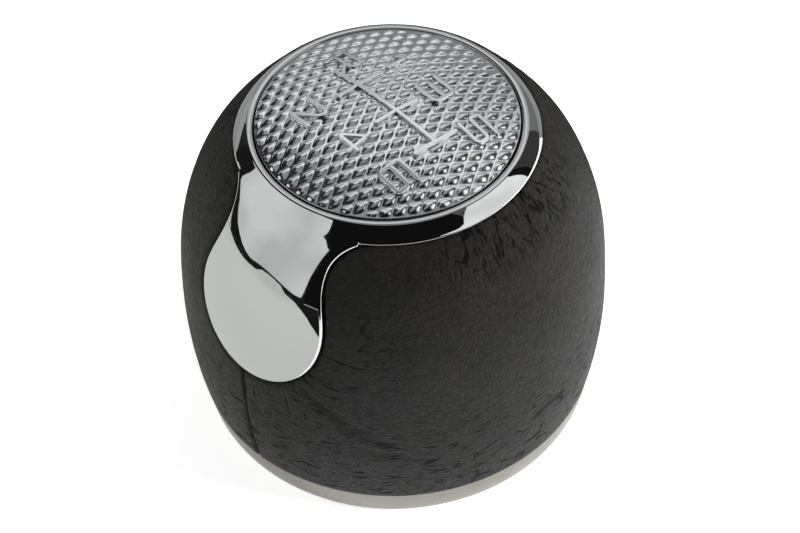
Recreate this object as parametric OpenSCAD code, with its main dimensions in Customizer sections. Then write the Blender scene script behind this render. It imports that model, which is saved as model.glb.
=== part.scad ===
// Gear shift knob: a leather barrel on a ribbed core, with a plated collar that flows
// into a thumb plate, a domed hobnail cap with the shift pattern, and a base ring.
// It stands on its base ring, +Z up along the lever, +X to the right of the pattern.

/* [Body] */
// Largest diameter of the leather
body_d = 55; // [53:0.5:58]
// Height of the largest diameter above the base
waist_z = 18.5; // [17:0.5:20]
// Height above the waist at which the crown curve would close
crown_h = 32; // [31:0.5:34]
// Squareness of the crown curve, 2 for an ellipse
crown_power = 2.5; // [2.4:0.05:2.8]
// Depth below the waist at which the skirt curve would close
skirt_h = 43; // [40:1:50]

/* [Layers] */
// Thickness of the leather
leather_t = 1.1; // [0.9:0.1:1.3]
// Thickness of the foam under the leather
foam_t = 3; // [2.6:0.2:3.6]
// Wall of the core
core_t = 2.2; // [1.8:0.2:2.8]
// Thickness of the core's ribs
rib_t = 1.6; // [1.2:0.2:2]
// Number of ribs in the core
rib_count = 6; // [6:3:6]
// Width of the open butt seam
seam_w = 0.5; // [0.3:0.1:0.8]
// Depth of the seam
seam_depth = 0.7; // [0.4:0.1:0.8]
// Angle from the middle of the thumb plate to the seam
seam_offset = -2.5; // [-6:0.5:2]

/* [Collar and thumb plate] */
// Height of the collar's outer edge
collar_z = 44.5; // [43.6:0.1:44.8]
// How far the collar's outer edge stands out of the leather
collar_proud = 0.15; // [0.1:0.05:0.5]
// How far the lower end of the thumb plate stands out of the leather
plate_proud = 0.1; // [0.05:0.01:0.12]
// Wall of the thumb plate
plate_t = 2; // [1.8:0.1:2.4]
// Direction of the thumb plate around the lever
plate_angle = -83; // [-95:1:-75]
// Width of the thumb plate's neck
neck_w = 15.9; // [14.5:0.1:17]
// Width of the thumb plate's round end
bulb_w = 19.5; // [18:0.1:21]
// Height of the widest line of the round end
bulb_z = 32.9; // [32:0.1:34]
// Length of the round end below its widest line
bulb_drop = 9.5; // [8.5:0.1:10.5]
// Radius of the fillets between the neck and the collar
neck_fillet = 3; // [2.4:0.1:3.2]
// Width of the smooth lip around the cap
lip_w = 0.65; // [0.5:0.05:0.8]
// How far the lip stands above the body's curve
lip_proud = 0.35; // [0.2:0.05:0.5]
// Radius of the stakes behind the thumb plate
stake_r = 1.5; // [1.2:0.1:1.8]

/* [Cap] */
// Diameter of the cap
cap_d = 33; // [32.4:0.1:33.6]
// Height of the cap's dome above its edge
dome_h = 2.7; // [2.2:0.1:3.2]
// Wall of the cap
cap_t = 1.5; // [1.3:0.1:1.8]
// Distance between the hobnail studs
stud_pitch = 1.8; // [1.7:0.05:2.1]
// Height of a stud above the dome
stud_h = 0.36; // [0.3:0.02:0.44]
// Width of the flat land between two studs
stud_land = 0.2; // [0.15:0.05:0.35]
// Width of the smooth rim around the studs
cap_rim = 0.6; // [0.4:0.1:1]
// Thickness of the adhesive ring under the cap
tape_t = 0.5; // [0.4:0.1:0.8]

/* [Shift pattern] */
// Distance between two gates
gate_pitch = 6.8; // [6.6:0.1:7]
// Length of a gate
gate_len = 6.3; // [5.8:0.1:6.6]
// Middle gate's place to the right of the axis
gate_x = 1.1; // [0.8:0.1:1.4]
// Crossbar's place ahead of the axis
gate_y = 0.3; // [0:0.1:0.5]
// Width of the gates and the crossbar
gate_w = 0.7; // [0.5:0.05:0.9]
// Width of a digit
digit_w = 3.7; // [3.4:0.1:4]
// Height of a digit
digit_h = 3.3; // [3:0.1:3.6]
// Width of a digit's stroke
digit_stroke = 0.75; // [0.6:0.05:0.85]
// Distance from the crossbar to the middle of the digits
digit_y = 6.4; // [6.3:0.1:6.7]
// Height of the pattern above the dome
pattern_h = 0.5; // [0.45:0.05:0.6]

/* [Base] */
// Height of the base ring
ring_h = 4.5; // [4:0.1:5]
// Diameter of the ring where it stands
ring_foot_d = 47.8; // [47:0.1:48.4]
// Wall of the ring
ring_t = 2; // [1.6:0.1:2.2]
// Set-back of the ring from the leather's edge
ring_step = 0.25; // [0.1:0.05:0.4]
// Thickness of the base plate
base_t = 1.6; // [1.4:0.1:1.8]
// Diameter of the base plate's opening for the lever
base_hole_d = 25; // [24:0.5:26]

/* [Lever socket] */
// Diameter of the lever's bore
lever_d = 12.2; // [11:0.1:12.8]
// Depth of the lever's bore
lever_depth = 30; // [26:0.5:30.5]
// Wall of the bush
bush_t = 1.9; // [1.7:0.1:2]
// Wall of the rubber cup around the bush
damper_t = 1.5; // [1.3:0.1:1.6]
// Wall of the core's socket tube
tube_t = 1.6; // [1.4:0.1:1.7]
// Number of slots in the clamp neck
slot_count = 4; // [3:1:5]
// Width of a slot
slot_w = 1.2; // [0.8:0.1:1.4]
// Thickness of the clamp ring
clamp_t = 0.8; // [0.6:0.1:0.9]
// Width of the clamp ring
clamp_w = 3; // [2.4:0.1:3.2]

/* [Screws] */
// Diameter of a screw's shank
screw_d = 2; // [1.8:0.1:2.2]
// Diameter of a screw's head
head_d = 3.8; // [3.6:0.1:4]
// Height of a screw's head
head_h = 1.4; // [1.2:0.1:1.5]
// Length of a collar screw's shank
collar_screw_len = 6.5; // [6:0.1:7]
// Length of a base screw's shank
base_screw_len = 8; // [7:0.1:9]

/* [Hidden] */
$fn = 96;

// Clearances, and how far a cutting shape runs past what it cuts
fit_gap = 0.1;
seat_gap = 0.2;
cut = 1;
far = 2 * body_d;

// Body curve: a superellipse above the waist and an ellipse below it
body_r = body_d / 2;
function crown_r(z) = body_r * pow(1 - pow((z - waist_z) / crown_h, crown_power), 1 / crown_power);
function skirt_r(z) = body_r * sqrt(1 - pow((waist_z - z) / skirt_h, 2));
function curve_r(z) = z > waist_z ? crown_r(z) : skirt_r(z);
function crown_z(r) = waist_z + crown_h * pow(1 - pow(r / body_r, crown_power), 1 / crown_power);

// A point at height z on the curve, moved out along the curve's normal
slope_step = 0.01;
function curve_slope(z) = (curve_r(z + slope_step) - curve_r(z - slope_step)) / (2 * slope_step);
function skin(z, out) =
    let (s = curve_slope(z), n = sqrt(1 + s * s))
    [curve_r(z) + out / n, z - out * s / n];

// Heights along the body, closer together towards the crown
body_steps = 22;
function height_at(i, low, high) = low + (high - low) * sin(90 * i / body_steps);
function heights(low, high) = [for (i = [0 : body_steps]) height_at(i, low, high)];
function reversed(list) = [for (i = [len(list) - 1 : -1 : 0]) list[i]];

// One face of a layer, flat at the bottom and square to the curve at the collar
function layer(out) = [for (z = heights(ring_h, collar_z)) z == ring_h ? [skin(z, out)[0], z] : skin(z, out)];
function layer_ring(outer, inner) = concat(layer(outer), reversed(layer(inner)));

// Depths of the layers below the leather's face
foam_out = -leather_t;
core_out = foam_out - foam_t;
core_in = core_out - core_t;
plate_back = collar_proud - plate_t;

// Core: rim, pocket for the collar's spigot, and deck
rim_w = 1;
rim_z = skin(collar_z, core_out)[1];
pocket_r = skin(collar_z, core_out)[0] - rim_w;
pocket_depth = 2.75;
deck_t = 2.5;
deck_z = rim_z - pocket_depth;
ceiling_z = deck_z - deck_t;

// Lever socket, from the mouth up
mouth_z = 1;
lever_r = lever_d / 2;
bush_r = lever_r + bush_t;
damper_r = bush_r + damper_t;
tube_r = damper_r + tube_t;
socket_z = ring_h + 3.5;
shoulder_t = 1.6;
bush_top = ceiling_z - damper_t;
clamp_z = mouth_z + 1.2;
clamp_seat = 0.5;
slot_top = socket_z - shoulder_t - 0.5;
rib_lift = 1;

// Cap and the lip around it
cap_r = cap_d / 2;
seat_r = cap_r + seat_gap;
lip_r = seat_r + lip_w;
lip_z = crown_z(lip_r) + lip_proud;
cap_edge_z = lip_z;
crest_z = cap_edge_z + dome_h;
cap_wall_h = 1.6;
cap_foot_z = cap_edge_z - cap_wall_h;
cap_foot_w = 3.2;
ledge_z = cap_foot_z - tape_t;
ledge_t = 1.6;
ledge_w = 3.6;
dome_r = (cap_r * cap_r + dome_h * dome_h) / (2 * dome_h);
function dome_z(r) = crest_z - dome_r + sqrt(dome_r * dome_r - r * r);

// Base
foot_r = ring_foot_d / 2;
ring_top_r = skin(ring_h, 0)[0] - ring_step;
ring_wall_r = min(foot_r, ring_top_r) - ring_t;
flange_t = 2;
flange_z = ring_h - flange_t;
base_r = ring_wall_r - seat_gap;
base_z = flange_z - base_t;
base_hole_r = base_hole_d / 2;
base_neck_t = 1.2;
base_neck_h = 3;

// Screws
screw_r = screw_d / 2;
head_r = head_d / 2;
screw_count = 3;
boss_r = screw_r + 1.4;
collar_screw_ring = tube_r + head_r + 0.3;
collar_boss_top = ledge_z - 0.3;
boss_foot_z = deck_z + 0.3;
base_boss_r = screw_r + 2;
base_screw_ring = base_hole_r + base_neck_t + head_r + fit_gap;
flange_r = base_screw_ring + base_boss_r + 1.85;
head_seat_z = ring_h - 1.9;
rib_angle = plate_angle + 180 / rib_count;

// Puts its children at the screws' places
module around(ring, start) {
    for (i = [0 : screw_count - 1])
        rotate([0, 0, start + i * 360 / screw_count]) translate([ring, 0, 0]) children();
}

// Outline of the thumb plate seen from outside, x across and y up. The fillets run on
// behind the collar's edge.
outline_steps = 14;
fillet_top = skin(collar_z, collar_proud)[1] + 0.05;
function ease(t) = (1 - cos(180 * t)) / 2;
function fillet_side(grow) = [for (i = [outline_steps : -2 : 0])
    let (a = 90 * i / outline_steps, r = neck_fillet - grow)
    [neck_w / 2 + neck_fillet - r * cos(a), fillet_top - neck_fillet + r * sin(a)]];
function neck_side(grow) = [for (i = [outline_steps - 1 : -1 : 1])
    let (t = i / outline_steps)
    [bulb_w / 2 + grow + (neck_w - bulb_w) / 2 * ease(t), bulb_z + t * (fillet_top - neck_fillet - bulb_z)]];
function bulb_side(grow) = [for (i = [0 : outline_steps])
    let (a = 90 * i / outline_steps)
    [(bulb_w / 2 + grow) * cos(a), bulb_z - (bulb_drop + grow) * sin(a)]];
function plate_side(grow) = concat(fillet_side(grow), neck_side(grow), bulb_side(grow));
function plate_outline(grow, top) =
    let (side = plate_side(grow), end = side[0][0])
    concat([[end, top]], side, [for (p = reversed(side)) if (p[0] > 0.001) [-p[0], p[1]]], [[-end, top]]);

// The outline as a prism that runs out from the axis in the plate's direction
module plate_prism(grow) {
    rotate([0, 0, plate_angle + 90]) rotate([90, 0, 0]) translate([0, 0, bulb_w / 2])
        linear_extrude(far) polygon(plate_outline(grow, collar_z + 2 * plate_tuck));
}

// Face of the plate: the proud height grows from the plate's end to the collar, and the
// plate runs on inside the collar by a small tuck
plate_low = bulb_z - bulb_drop;
plate_tuck = 0.3;
function proud_at(z) = plate_proud + (collar_proud - plate_proud) * min(1, (z - plate_low) / (collar_z - plate_low));
function plate_face() = [for (z = heights(plate_low - cut, collar_z)) skin(z, proud_at(z))];
function plate_inside() = [for (z = heights(plate_low - cut, collar_z)) skin(z, plate_back)];

// Stakes that locate the plate in the core, below and above its widest line
stake_below = 4.5;
stake_above = 1;
stake_z = [bulb_z - stake_below, bulb_z + stake_above];
function stake_end(z) = skin(z, core_in)[0] - cut;
module stakes(r) {
    for (z = stake_z)
        rotate([0, 0, plate_angle]) translate([stake_end(z), 0, z]) rotate([0, 90, 0])
            cylinder(r = r, h = curve_r(z) - plate_t / 2 - stake_end(z));
}

module leather_cover() {
    color("#262422") difference() {
        rotate_extrude() polygon(layer_ring(0, foam_out));
        plate_prism(fit_gap);
        rotate([0, 0, plate_angle + seam_offset]) seam();
    }
}

// Butt seam from the base ring to its end behind the thumb plate
seam_tuck = 2;
module seam() {
    seam_angle = seam_w / body_r * 180 / PI;
    zs = heights(ring_h - cut, plate_low + seam_tuck);
    rotate([0, 0, -seam_angle / 2]) rotate_extrude(angle = seam_angle)
        polygon(concat([for (z = zs) skin(z, -seam_depth)], reversed([for (z = zs) skin(z, cut)])));
}

module foam_padding() {
    color("#8f8a78") difference() {
        rotate_extrude() polygon(layer_ring(foam_out, core_out));
        intersection() {
            plate_prism(fit_gap);
            rotate_extrude() polygon(concat(plate_inside(), [[far, collar_z], [far, plate_low - cut]]));
        }
        stakes(stake_r + fit_gap);
    }
}

// Core seen as a solid of its outer form, with the pocket for the collar
function core_outline() = concat(
    [[0, ring_h]],
    layer(core_out),
    [[pocket_r, rim_z], [pocket_r, deck_z], [0, deck_z]]
);
function core_wall() = [for (p = layer(core_in)) if (p[1] < ceiling_z) p];
function cavity_outline() =
    let (wall = core_wall(), last = wall[len(wall) - 1])
    concat([[0, ring_h - cut], [wall[0][0], ring_h - cut]], wall, [[last[0], ceiling_z], [0, ceiling_z]]);

module core_frame() {
    difference() {
        union() {
            translate([0, 0, socket_z]) cylinder(r = tube_r, h = deck_z - socket_z);
            for (i = [0 : rib_count - 1])
                rotate([0, 0, rib_angle + i * 360 / rib_count])
                    translate([damper_r + tube_t / 2, -rib_t / 2, socket_z + rib_lift]) cube([body_r, rib_t, deck_z]);
            around(base_screw_ring, rib_angle)
                translate([0, 0, ring_h]) cylinder(r = base_boss_r, h = deck_z - ring_h);
        }
        translate([0, 0, ring_h - cut]) cylinder(r = damper_r, h = ceiling_z - ring_h + cut);
    }
}

module core_body() {
    color("#3a3d40") difference() {
        rotate_extrude() polygon(core_outline());
        difference() {
            rotate_extrude() polygon(cavity_outline());
            core_frame();
        }
        around(base_screw_ring, rib_angle)
            translate([0, 0, ring_h - cut]) cylinder(r = screw_r, h = base_screw_len, $fn = 32);
        around(collar_screw_ring, plate_angle)
            translate([0, 0, ceiling_z - cut]) cylinder(r = screw_r + fit_gap, h = deck_t + 2 * cut, $fn = 32);
        stakes(stake_r + fit_gap);
    }
}

// Section of the collar, from its outer edge over the lip and the cap's seat to the spigot
spigot_r = pocket_r - fit_gap;
spigot_t = 1.6;
lip_round = 0.12;
collar_end = lip_z - lip_proud;
function collar_rise(z) = (lip_proud - collar_proud) * (z - collar_z) / (collar_end - collar_z);
function collar_face() = [for (z = heights(collar_z, collar_end)) skin(z, collar_proud + collar_rise(z))];
function collar_outline() = concat(
    [skin(collar_z, core_out)],
    collar_face(),
    [[lip_r - lip_round, lip_z + lip_round], [seat_r + lip_round, lip_z + lip_round], [seat_r, lip_z]],
    [[seat_r, ledge_z], [seat_r - ledge_w, ledge_z], [seat_r - ledge_w, ledge_z - ledge_t]],
    [[spigot_r - spigot_t, ledge_z - ledge_t], [spigot_r - spigot_t, deck_z], [spigot_r, deck_z]],
    [[spigot_r, rim_z]]
);

module thumb_plate() {
    intersection() {
        plate_prism(0);
        rotate_extrude() polygon(concat(
            plate_face(),
            [for (out = [collar_proud - plate_tuck, plate_back]) skin(collar_z + plate_tuck, out)],
            reversed(plate_inside())
        ));
    }
}

module chrome_collar() {
    color("#d4d7da") difference() {
        union() {
            rotate_extrude() polygon(collar_outline());
            thumb_plate();
            intersection() {
                around(collar_screw_ring, plate_angle)
                    translate([0, 0, boss_foot_z]) cylinder(r = boss_r, h = collar_boss_top - boss_foot_z);
                translate([0, 0, deck_z]) cylinder(r = spigot_r - spigot_t / 2, h = collar_boss_top - deck_z + cut);
            }
            stakes(stake_r);
        }
        around(collar_screw_ring, plate_angle)
            translate([0, 0, deck_z - cut]) cylinder(r = screw_r, h = collar_screw_len - deck_t + cut, $fn = 32);
    }
}

// Shift pattern: columns of gates, a crossbar and digits made of strokes
columns = [for (i = [-1 : 1]) gate_x + i * gate_pitch];
reverse_x = columns[0] - 4.4;
crossbar_start = reverse_x + 0.9;

module stroke(a, b, w) {
    d = b - a;
    length = norm(d);
    translate(a) rotate([0, 0, atan2(d[1], d[0])]) translate([0, -w / 2]) square([length, w]);
    translate(a) circle(d = w, $fn = 16);
    translate(b) circle(d = w, $fn = 16);
}

// Joins points given as shares of a digit's width and height
module strokes(points) {
    inner_w = digit_w - digit_stroke;
    inner_h = digit_h - digit_stroke;
    for (i = [0 : len(points) - 2])
        stroke(
            [points[i][0] * inner_w, points[i][1] * inner_h],
            [points[i + 1][0] * inner_w, points[i + 1][1] * inner_h],
            digit_stroke
        );
}

module digit(name) {
    if (name == "1") strokes([[-0.15, 0.25], [0.1, 0.5], [0.1, -0.5]]);
    if (name == "2") strokes([[-0.5, 0.5], [0.4, 0.5], [0.5, 0.3], [-0.45, -0.5], [0.5, -0.5]]);
    if (name == "3") strokes([[-0.5, 0.5], [0.5, 0.5], [0.5, 0], [0.5, -0.5], [-0.5, -0.5]]);
    if (name == "3") strokes([[-0.25, 0], [0.5, 0]]);
    if (name == "4") strokes([[0.3, -0.5], [0.3, 0.5], [-0.5, -0.2], [0.5, -0.2]]);
    if (name == "5") strokes([[0.5, 0.5], [-0.5, 0.5], [-0.5, 0.05], [0.35, 0.05], [0.5, -0.1]]);
    if (name == "5") strokes([[0.5, -0.1], [0.5, -0.4], [0.4, -0.5], [-0.5, -0.5]]);
    if (name == "6") strokes([[0.5, 0.5], [-0.3, 0.5], [-0.5, 0.3], [-0.5, -0.5], [0.5, -0.5]]);
    if (name == "6") strokes([[0.5, -0.5], [0.5, 0.05], [-0.5, 0.05]]);
    if (name == "R") strokes([[-0.5, -0.5], [-0.5, 0.5], [0.5, 0.5], [0.5, 0], [-0.5, 0]]);
    if (name == "R") strokes([[0.1, 0], [0.5, -0.5]]);
}

module pattern_flat() {
    for (x = columns)
        stroke([x, gate_y - gate_len / 2], [x, gate_y + gate_len / 2], gate_w);
    stroke([crossbar_start, gate_y], [columns[2], gate_y], gate_w);
    for (i = [0 : 2]) {
        translate([columns[i] * 1.1, gate_y + digit_y]) digit(["1", "3", "5"][i]);
        translate([columns[i] * 1.1, gate_y - digit_y]) digit(["2", "4", "6"][i]);
    }
    translate([reverse_x, gate_y + digit_h / 2 - 0.3]) digit("R");
}

// Places of the studs: the middles of the rhombi inside the smooth rim
stud_row = stud_pitch * sqrt(3) / 2;
stud_field_r = cap_r - cap_rim - stud_pitch / 2;
stud_rows = ceil(stud_field_r / stud_row);
stud_columns = ceil(stud_field_r / stud_pitch) + 1;
function stud_place(i, j) = [(i + (abs(j) % 2) / 2) * stud_pitch, j * stud_row];

// A stud stays clear of the middle of the crossbar and the gates
keep_off = gate_w / 2 + stud_pitch / 4;
function near_gate(p) = len([for (x = columns)
    if (abs(p[0] - x) < keep_off && abs(p[1] - gate_y) < gate_len / 2) x]) > 0;
function near_bar(p) = abs(p[1] - gate_y) < keep_off && p[0] > crossbar_start && p[0] < columns[2];
stud_places = [for (j = [-stud_rows : stud_rows]) for (i = [-stud_columns : stud_columns])
    let (p = stud_place(i, j))
    if (norm(p) < stud_field_r && !near_gate(p) && !near_bar(p)) p];

// All studs in one polyhedron: four-sided pyramids on rhombi that are one pitch across and
// two rows high, with their feet just under the dome
stud_sides = 4;
stud_foot = 0.1;
stud_share = 1 - stud_land / stud_row;
stud_corners = stud_share * [[stud_pitch / 2, 0], [0, stud_row], [-stud_pitch / 2, 0], [0, -stud_row]];
function stud_points(p) = concat(
    [for (c = stud_corners) [p[0] + c[0], p[1] + c[1], dome_z(norm(p + c)) - stud_foot]],
    [[p[0], p[1], dome_z(norm(p)) + stud_h]]
);
function stud_faces(n) = concat(
    [[for (k = [0 : stud_sides - 1]) n + k]],
    [for (k = [0 : stud_sides - 1]) [n + (k + 1) % stud_sides, n + k, n + stud_sides]]
);
module studs() {
    polyhedron(
        points = [for (p = stud_places) each stud_points(p)],
        faces = [for (i = [0 : len(stud_places) - 1]) each stud_faces(i * (stud_sides + 1))]
    );
}

module pattern_cap() {
    color("#cfd2d6") difference() {
        union() {
            intersection() {
                translate([0, 0, cap_foot_z]) cylinder(r = cap_r, h = crest_z - cap_foot_z + cut);
                translate([0, 0, crest_z - dome_r]) sphere(r = dome_r);
            }
            intersection() {
                translate([0, 0, cap_foot_z]) linear_extrude(2 * dome_h + cap_wall_h) pattern_flat();
                translate([0, 0, crest_z - dome_r]) sphere(r = dome_r + pattern_h);
            }
            studs();
        }
        intersection() {
            translate([0, 0, cap_foot_z - cut]) cylinder(r = cap_r - cap_foot_w, h = crest_z);
            translate([0, 0, crest_z - dome_r]) sphere(r = dome_r - cap_t);
        }
    }
}

module cap_tape() {
    color("#1d1d1f") rotate_extrude() translate([cap_r - cap_foot_w, ledge_z]) square([cap_foot_w - seat_gap, tape_t]);
}

// Base ring: a rounded foot, with a flange between the base plate and the core
foot_steps = 8;
function ring_face() = [for (i = [0 : foot_steps])
    let (a = 90 * i / foot_steps)
    [foot_r + (ring_top_r - foot_r) * sin(a), ring_h * (1 - cos(a))]];

module base_ring() {
    color("#a5a39b") rotate_extrude() polygon(concat(
        ring_face(),
        [[flange_r, ring_h], [flange_r, flange_z], [ring_wall_r, flange_z], [ring_wall_r, 0]]
    ));
}

module base_plate() {
    color("#1f2022") difference() {
        union() {
            translate([0, 0, base_z]) cylinder(r = base_r, h = base_t);
            around(base_screw_ring, rib_angle)
                translate([0, 0, base_z]) cylinder(r = base_boss_r, h = ring_h - base_z);
            translate([0, 0, base_z]) cylinder(r = base_hole_r + base_neck_t, h = base_neck_h);
        }
        translate([0, 0, base_z - cut]) cylinder(r = base_hole_r, h = ring_h + base_neck_h);
        around(base_screw_ring, rib_angle) {
            translate([0, 0, base_z - cut]) cylinder(r = screw_r + fit_gap, h = ring_h + 2 * cut, $fn = 32);
            translate([0, 0, base_z - cut]) cylinder(r = head_r + seat_gap, h = head_seat_z - base_z + cut);
        }
    }
}

module lever_bush() {
    color("#2c2d30") difference() {
        union() {
            translate([0, 0, mouth_z]) cylinder(r = bush_r, h = bush_top - mouth_z);
            translate([0, 0, socket_z - shoulder_t]) cylinder(r = tube_r, h = shoulder_t);
        }
        translate([0, 0, mouth_z - cut]) cylinder(r = lever_r, h = lever_depth + cut);
        for (i = [0 : slot_count - 1])
            rotate([0, 0, (i + 0.5) * 360 / slot_count])
                translate([lever_r / 2, -slot_w / 2, mouth_z - cut]) cube([bush_r, slot_w, slot_top - mouth_z + cut]);
        difference() {
            translate([0, 0, clamp_z]) cylinder(r = bush_r + cut, h = clamp_w);
            translate([0, 0, clamp_z - cut]) cylinder(r = bush_r - clamp_seat, h = clamp_w + 2 * cut);
        }
    }
}

module bush_damper() {
    color("#151515") difference() {
        translate([0, 0, socket_z]) cylinder(r = damper_r, h = ceiling_z - socket_z);
        translate([0, 0, socket_z - cut]) cylinder(r = bush_r, h = bush_top - socket_z + cut);
    }
}

// Clamp ring with one crimped ear
module clamp_ring() {
    inner = bush_r - clamp_seat;
    ear_w = 4;
    ear_h = 1.8;
    color("#b9bcc0") translate([0, 0, clamp_z]) linear_extrude(clamp_w) difference() {
        union() {
            circle(r = inner + clamp_t);
            translate([inner, -ear_w / 2]) square([clamp_t + ear_h, ear_w]);
        }
        circle(r = inner);
        translate([inner - clamp_t, clamp_t - ear_w / 2]) square([clamp_t + ear_h, ear_w - 2 * clamp_t]);
    }
}

// Pan-head screw that points up, with its head's seat at z = 0 and a cross recess
module screw(length) {
    recess_w = 0.7;
    cylinder(r = screw_r, h = length, $fn = 32);
    difference() {
        translate([0, 0, -head_h]) cylinder(r = head_r, h = head_h);
        for (a = [0, 90])
            rotate([0, 0, a]) translate([-head_r * 0.6, -recess_w / 2, -head_h - cut]) cube([head_r * 1.2, recess_w, head_h]);
    }
}

module collar_screws() {
    color("#8d9094") around(collar_screw_ring, plate_angle)
        translate([0, 0, ceiling_z]) screw(collar_screw_len);
}

module base_screws() {
    color("#8d9094") around(base_screw_ring, rib_angle)
        translate([0, 0, head_seat_z]) screw(base_screw_len);
}

leather_cover();
foam_padding();
core_body();
chrome_collar();
pattern_cap();
cap_tape();
base_ring();
base_plate();
lever_bush();
bush_damper();
clamp_ring();
collar_screws();
base_screws();
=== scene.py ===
import math
from types import SimpleNamespace

import bpy
import numpy as np
from mathutils import Matrix


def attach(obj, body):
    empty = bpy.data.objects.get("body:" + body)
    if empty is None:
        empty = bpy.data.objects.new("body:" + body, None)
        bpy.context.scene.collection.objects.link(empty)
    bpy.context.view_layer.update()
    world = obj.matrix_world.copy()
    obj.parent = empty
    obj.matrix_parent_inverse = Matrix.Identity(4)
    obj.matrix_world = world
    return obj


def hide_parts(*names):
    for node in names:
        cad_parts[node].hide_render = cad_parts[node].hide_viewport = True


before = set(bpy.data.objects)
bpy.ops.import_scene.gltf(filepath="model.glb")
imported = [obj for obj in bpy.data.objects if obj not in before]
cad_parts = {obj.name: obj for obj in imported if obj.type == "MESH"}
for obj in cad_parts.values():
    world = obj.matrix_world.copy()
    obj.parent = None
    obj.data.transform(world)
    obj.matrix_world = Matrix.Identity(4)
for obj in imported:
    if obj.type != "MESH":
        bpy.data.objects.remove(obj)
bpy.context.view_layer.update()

bl_info = {
    "name": "Gear Shift Knob",
    "version": (1, 0, 0),
    "blender": (4, 5, 0),
    "location": "View3D > Sidebar > Shift Knob",
    "description": "Dresses the packed shift knob: leather, plated trim, hobnail cap, base ring and studio",
    "category": "Object",
}

MM = 0.001
TURN = 2 * math.pi
# Direction of the side that faces the camera
SEEN = math.radians(-40)
# Place of the core's surface, in mm out of the leather's face
CORE_OUT = -4.1


# Colours and properties

def linear(text):
    """Linear RGB of an sRGB hex colour such as "#2a2824"."""
    srgb = np.array([int(text[i:i + 2], 16) for i in (1, 3, 5)]) / 255
    return tuple(np.where(srgb <= 0.04045, srgb / 12.92, ((srgb + 0.055) / 1.055) ** 2.4).tolist())


def length(name, value, text):
    """A length property whose default is given in millimetres."""
    return bpy.props.FloatProperty(
        name=name, description=text, default=value * MM, min=-1.0, max=1.0, precision=5, unit="LENGTH"
    )


def number(name, value, text):
    """A property for a plain number."""
    return bpy.props.FloatProperty(name=name, description=text, default=value, unit="NONE")


def turn(name, value, text):
    """An angle property whose default is given in degrees."""
    return bpy.props.FloatProperty(name=name, description=text, default=math.radians(value), unit="ROTATION")


def colour(name, value, text):
    """A colour property whose default is an sRGB hex colour."""
    return bpy.props.FloatVectorProperty(
        name=name, description=text, default=linear(value), min=0.0, max=1.0, size=3, subtype="COLOR"
    )


class KNOB_PG_body(bpy.types.PropertyGroup):
    """Sizes of the barrel that the leather covers."""

    body_d: length("Body diameter", 55, "Largest diameter of the leather")
    waist_z: length("Waist height", 18.5, "Height of the largest diameter")
    crown_h: length("Crown height", 32, "Height above the waist at which the crown would close")
    crown_power: number("Crown power", 2.5, "Squareness of the crown, 2 for an ellipse")
    skirt_h: length("Skirt depth", 43, "Depth below the waist at which the skirt would close")
    leather_t: length("Leather", 1.1, "Thickness of the leather")
    ring_h: length("Ring height", 4.5, "Height of the base ring, where the leather starts")


class KNOB_PG_leather(bpy.types.PropertyGroup):
    """Look of the leather cover."""

    face: colour("Leather", "#1b1a19", "Colour of the dyed nappa")
    seam_offset: turn("Seam angle", -2.5, "Angle from the middle of the thumb plate to the seam")
    seam_depth: length("Seam depth", 0.75, "Depth of the open butt seam")
    crease_depth: length("Crease depth", 0.1, "Depth of the gathered creases")
    plate_roll: length("Edge at the plate", 0.6, "How far the leather rolls down at the thumb plate")
    collar_roll: length("Edge at the collar", 0.3, "How far the leather rolls down at the collar")
    seed: bpy.props.IntProperty(name="Seed", description="Seed of the creases", default=7, min=0)


class KNOB_PG_plate(bpy.types.PropertyGroup):
    """Sizes of the plated collar and thumb plate."""

    face: colour("Trim", "#c3c4c4", "Colour of the bright plating")
    collar_z: length("Collar edge", 44.5, "Height of the collar's outer edge")
    collar_proud: length("Collar proud", 0.15, "How far the collar's outer edge stands out of the leather")
    lip_proud: length("Lip proud", 0.35, "How far the lip stands above the body's curve")
    plate_proud: length("Plate proud", 0.1, "How far the plate's lower end stands out of the leather")
    plate_t: length("Plate wall", 2, "Wall of the thumb plate")
    plate_angle: turn("Plate direction", -83, "Direction of the thumb plate around the lever")
    neck_w: length("Neck", 15.9, "Width of the plate's neck")
    bulb_w: length("Round end", 19.5, "Width of the plate's round end")
    bulb_z: length("Round end height", 32.9, "Height of the widest line of the round end")
    bulb_drop: length("Round end drop", 9.5, "Length of the round end below its widest line")
    neck_fillet: length("Fillet", 3, "Radius of the fillets between neck and collar")
    edge_r: length("Edge radius", 0.4, "Radius of the rolled edge of collar and plate")
    lip_w: length("Lip", 0.65, "Width of the lip around the cap")
    bulge: length("Bulge", 0.12, "How far the collar's face bulges beyond the body curve")


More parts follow.
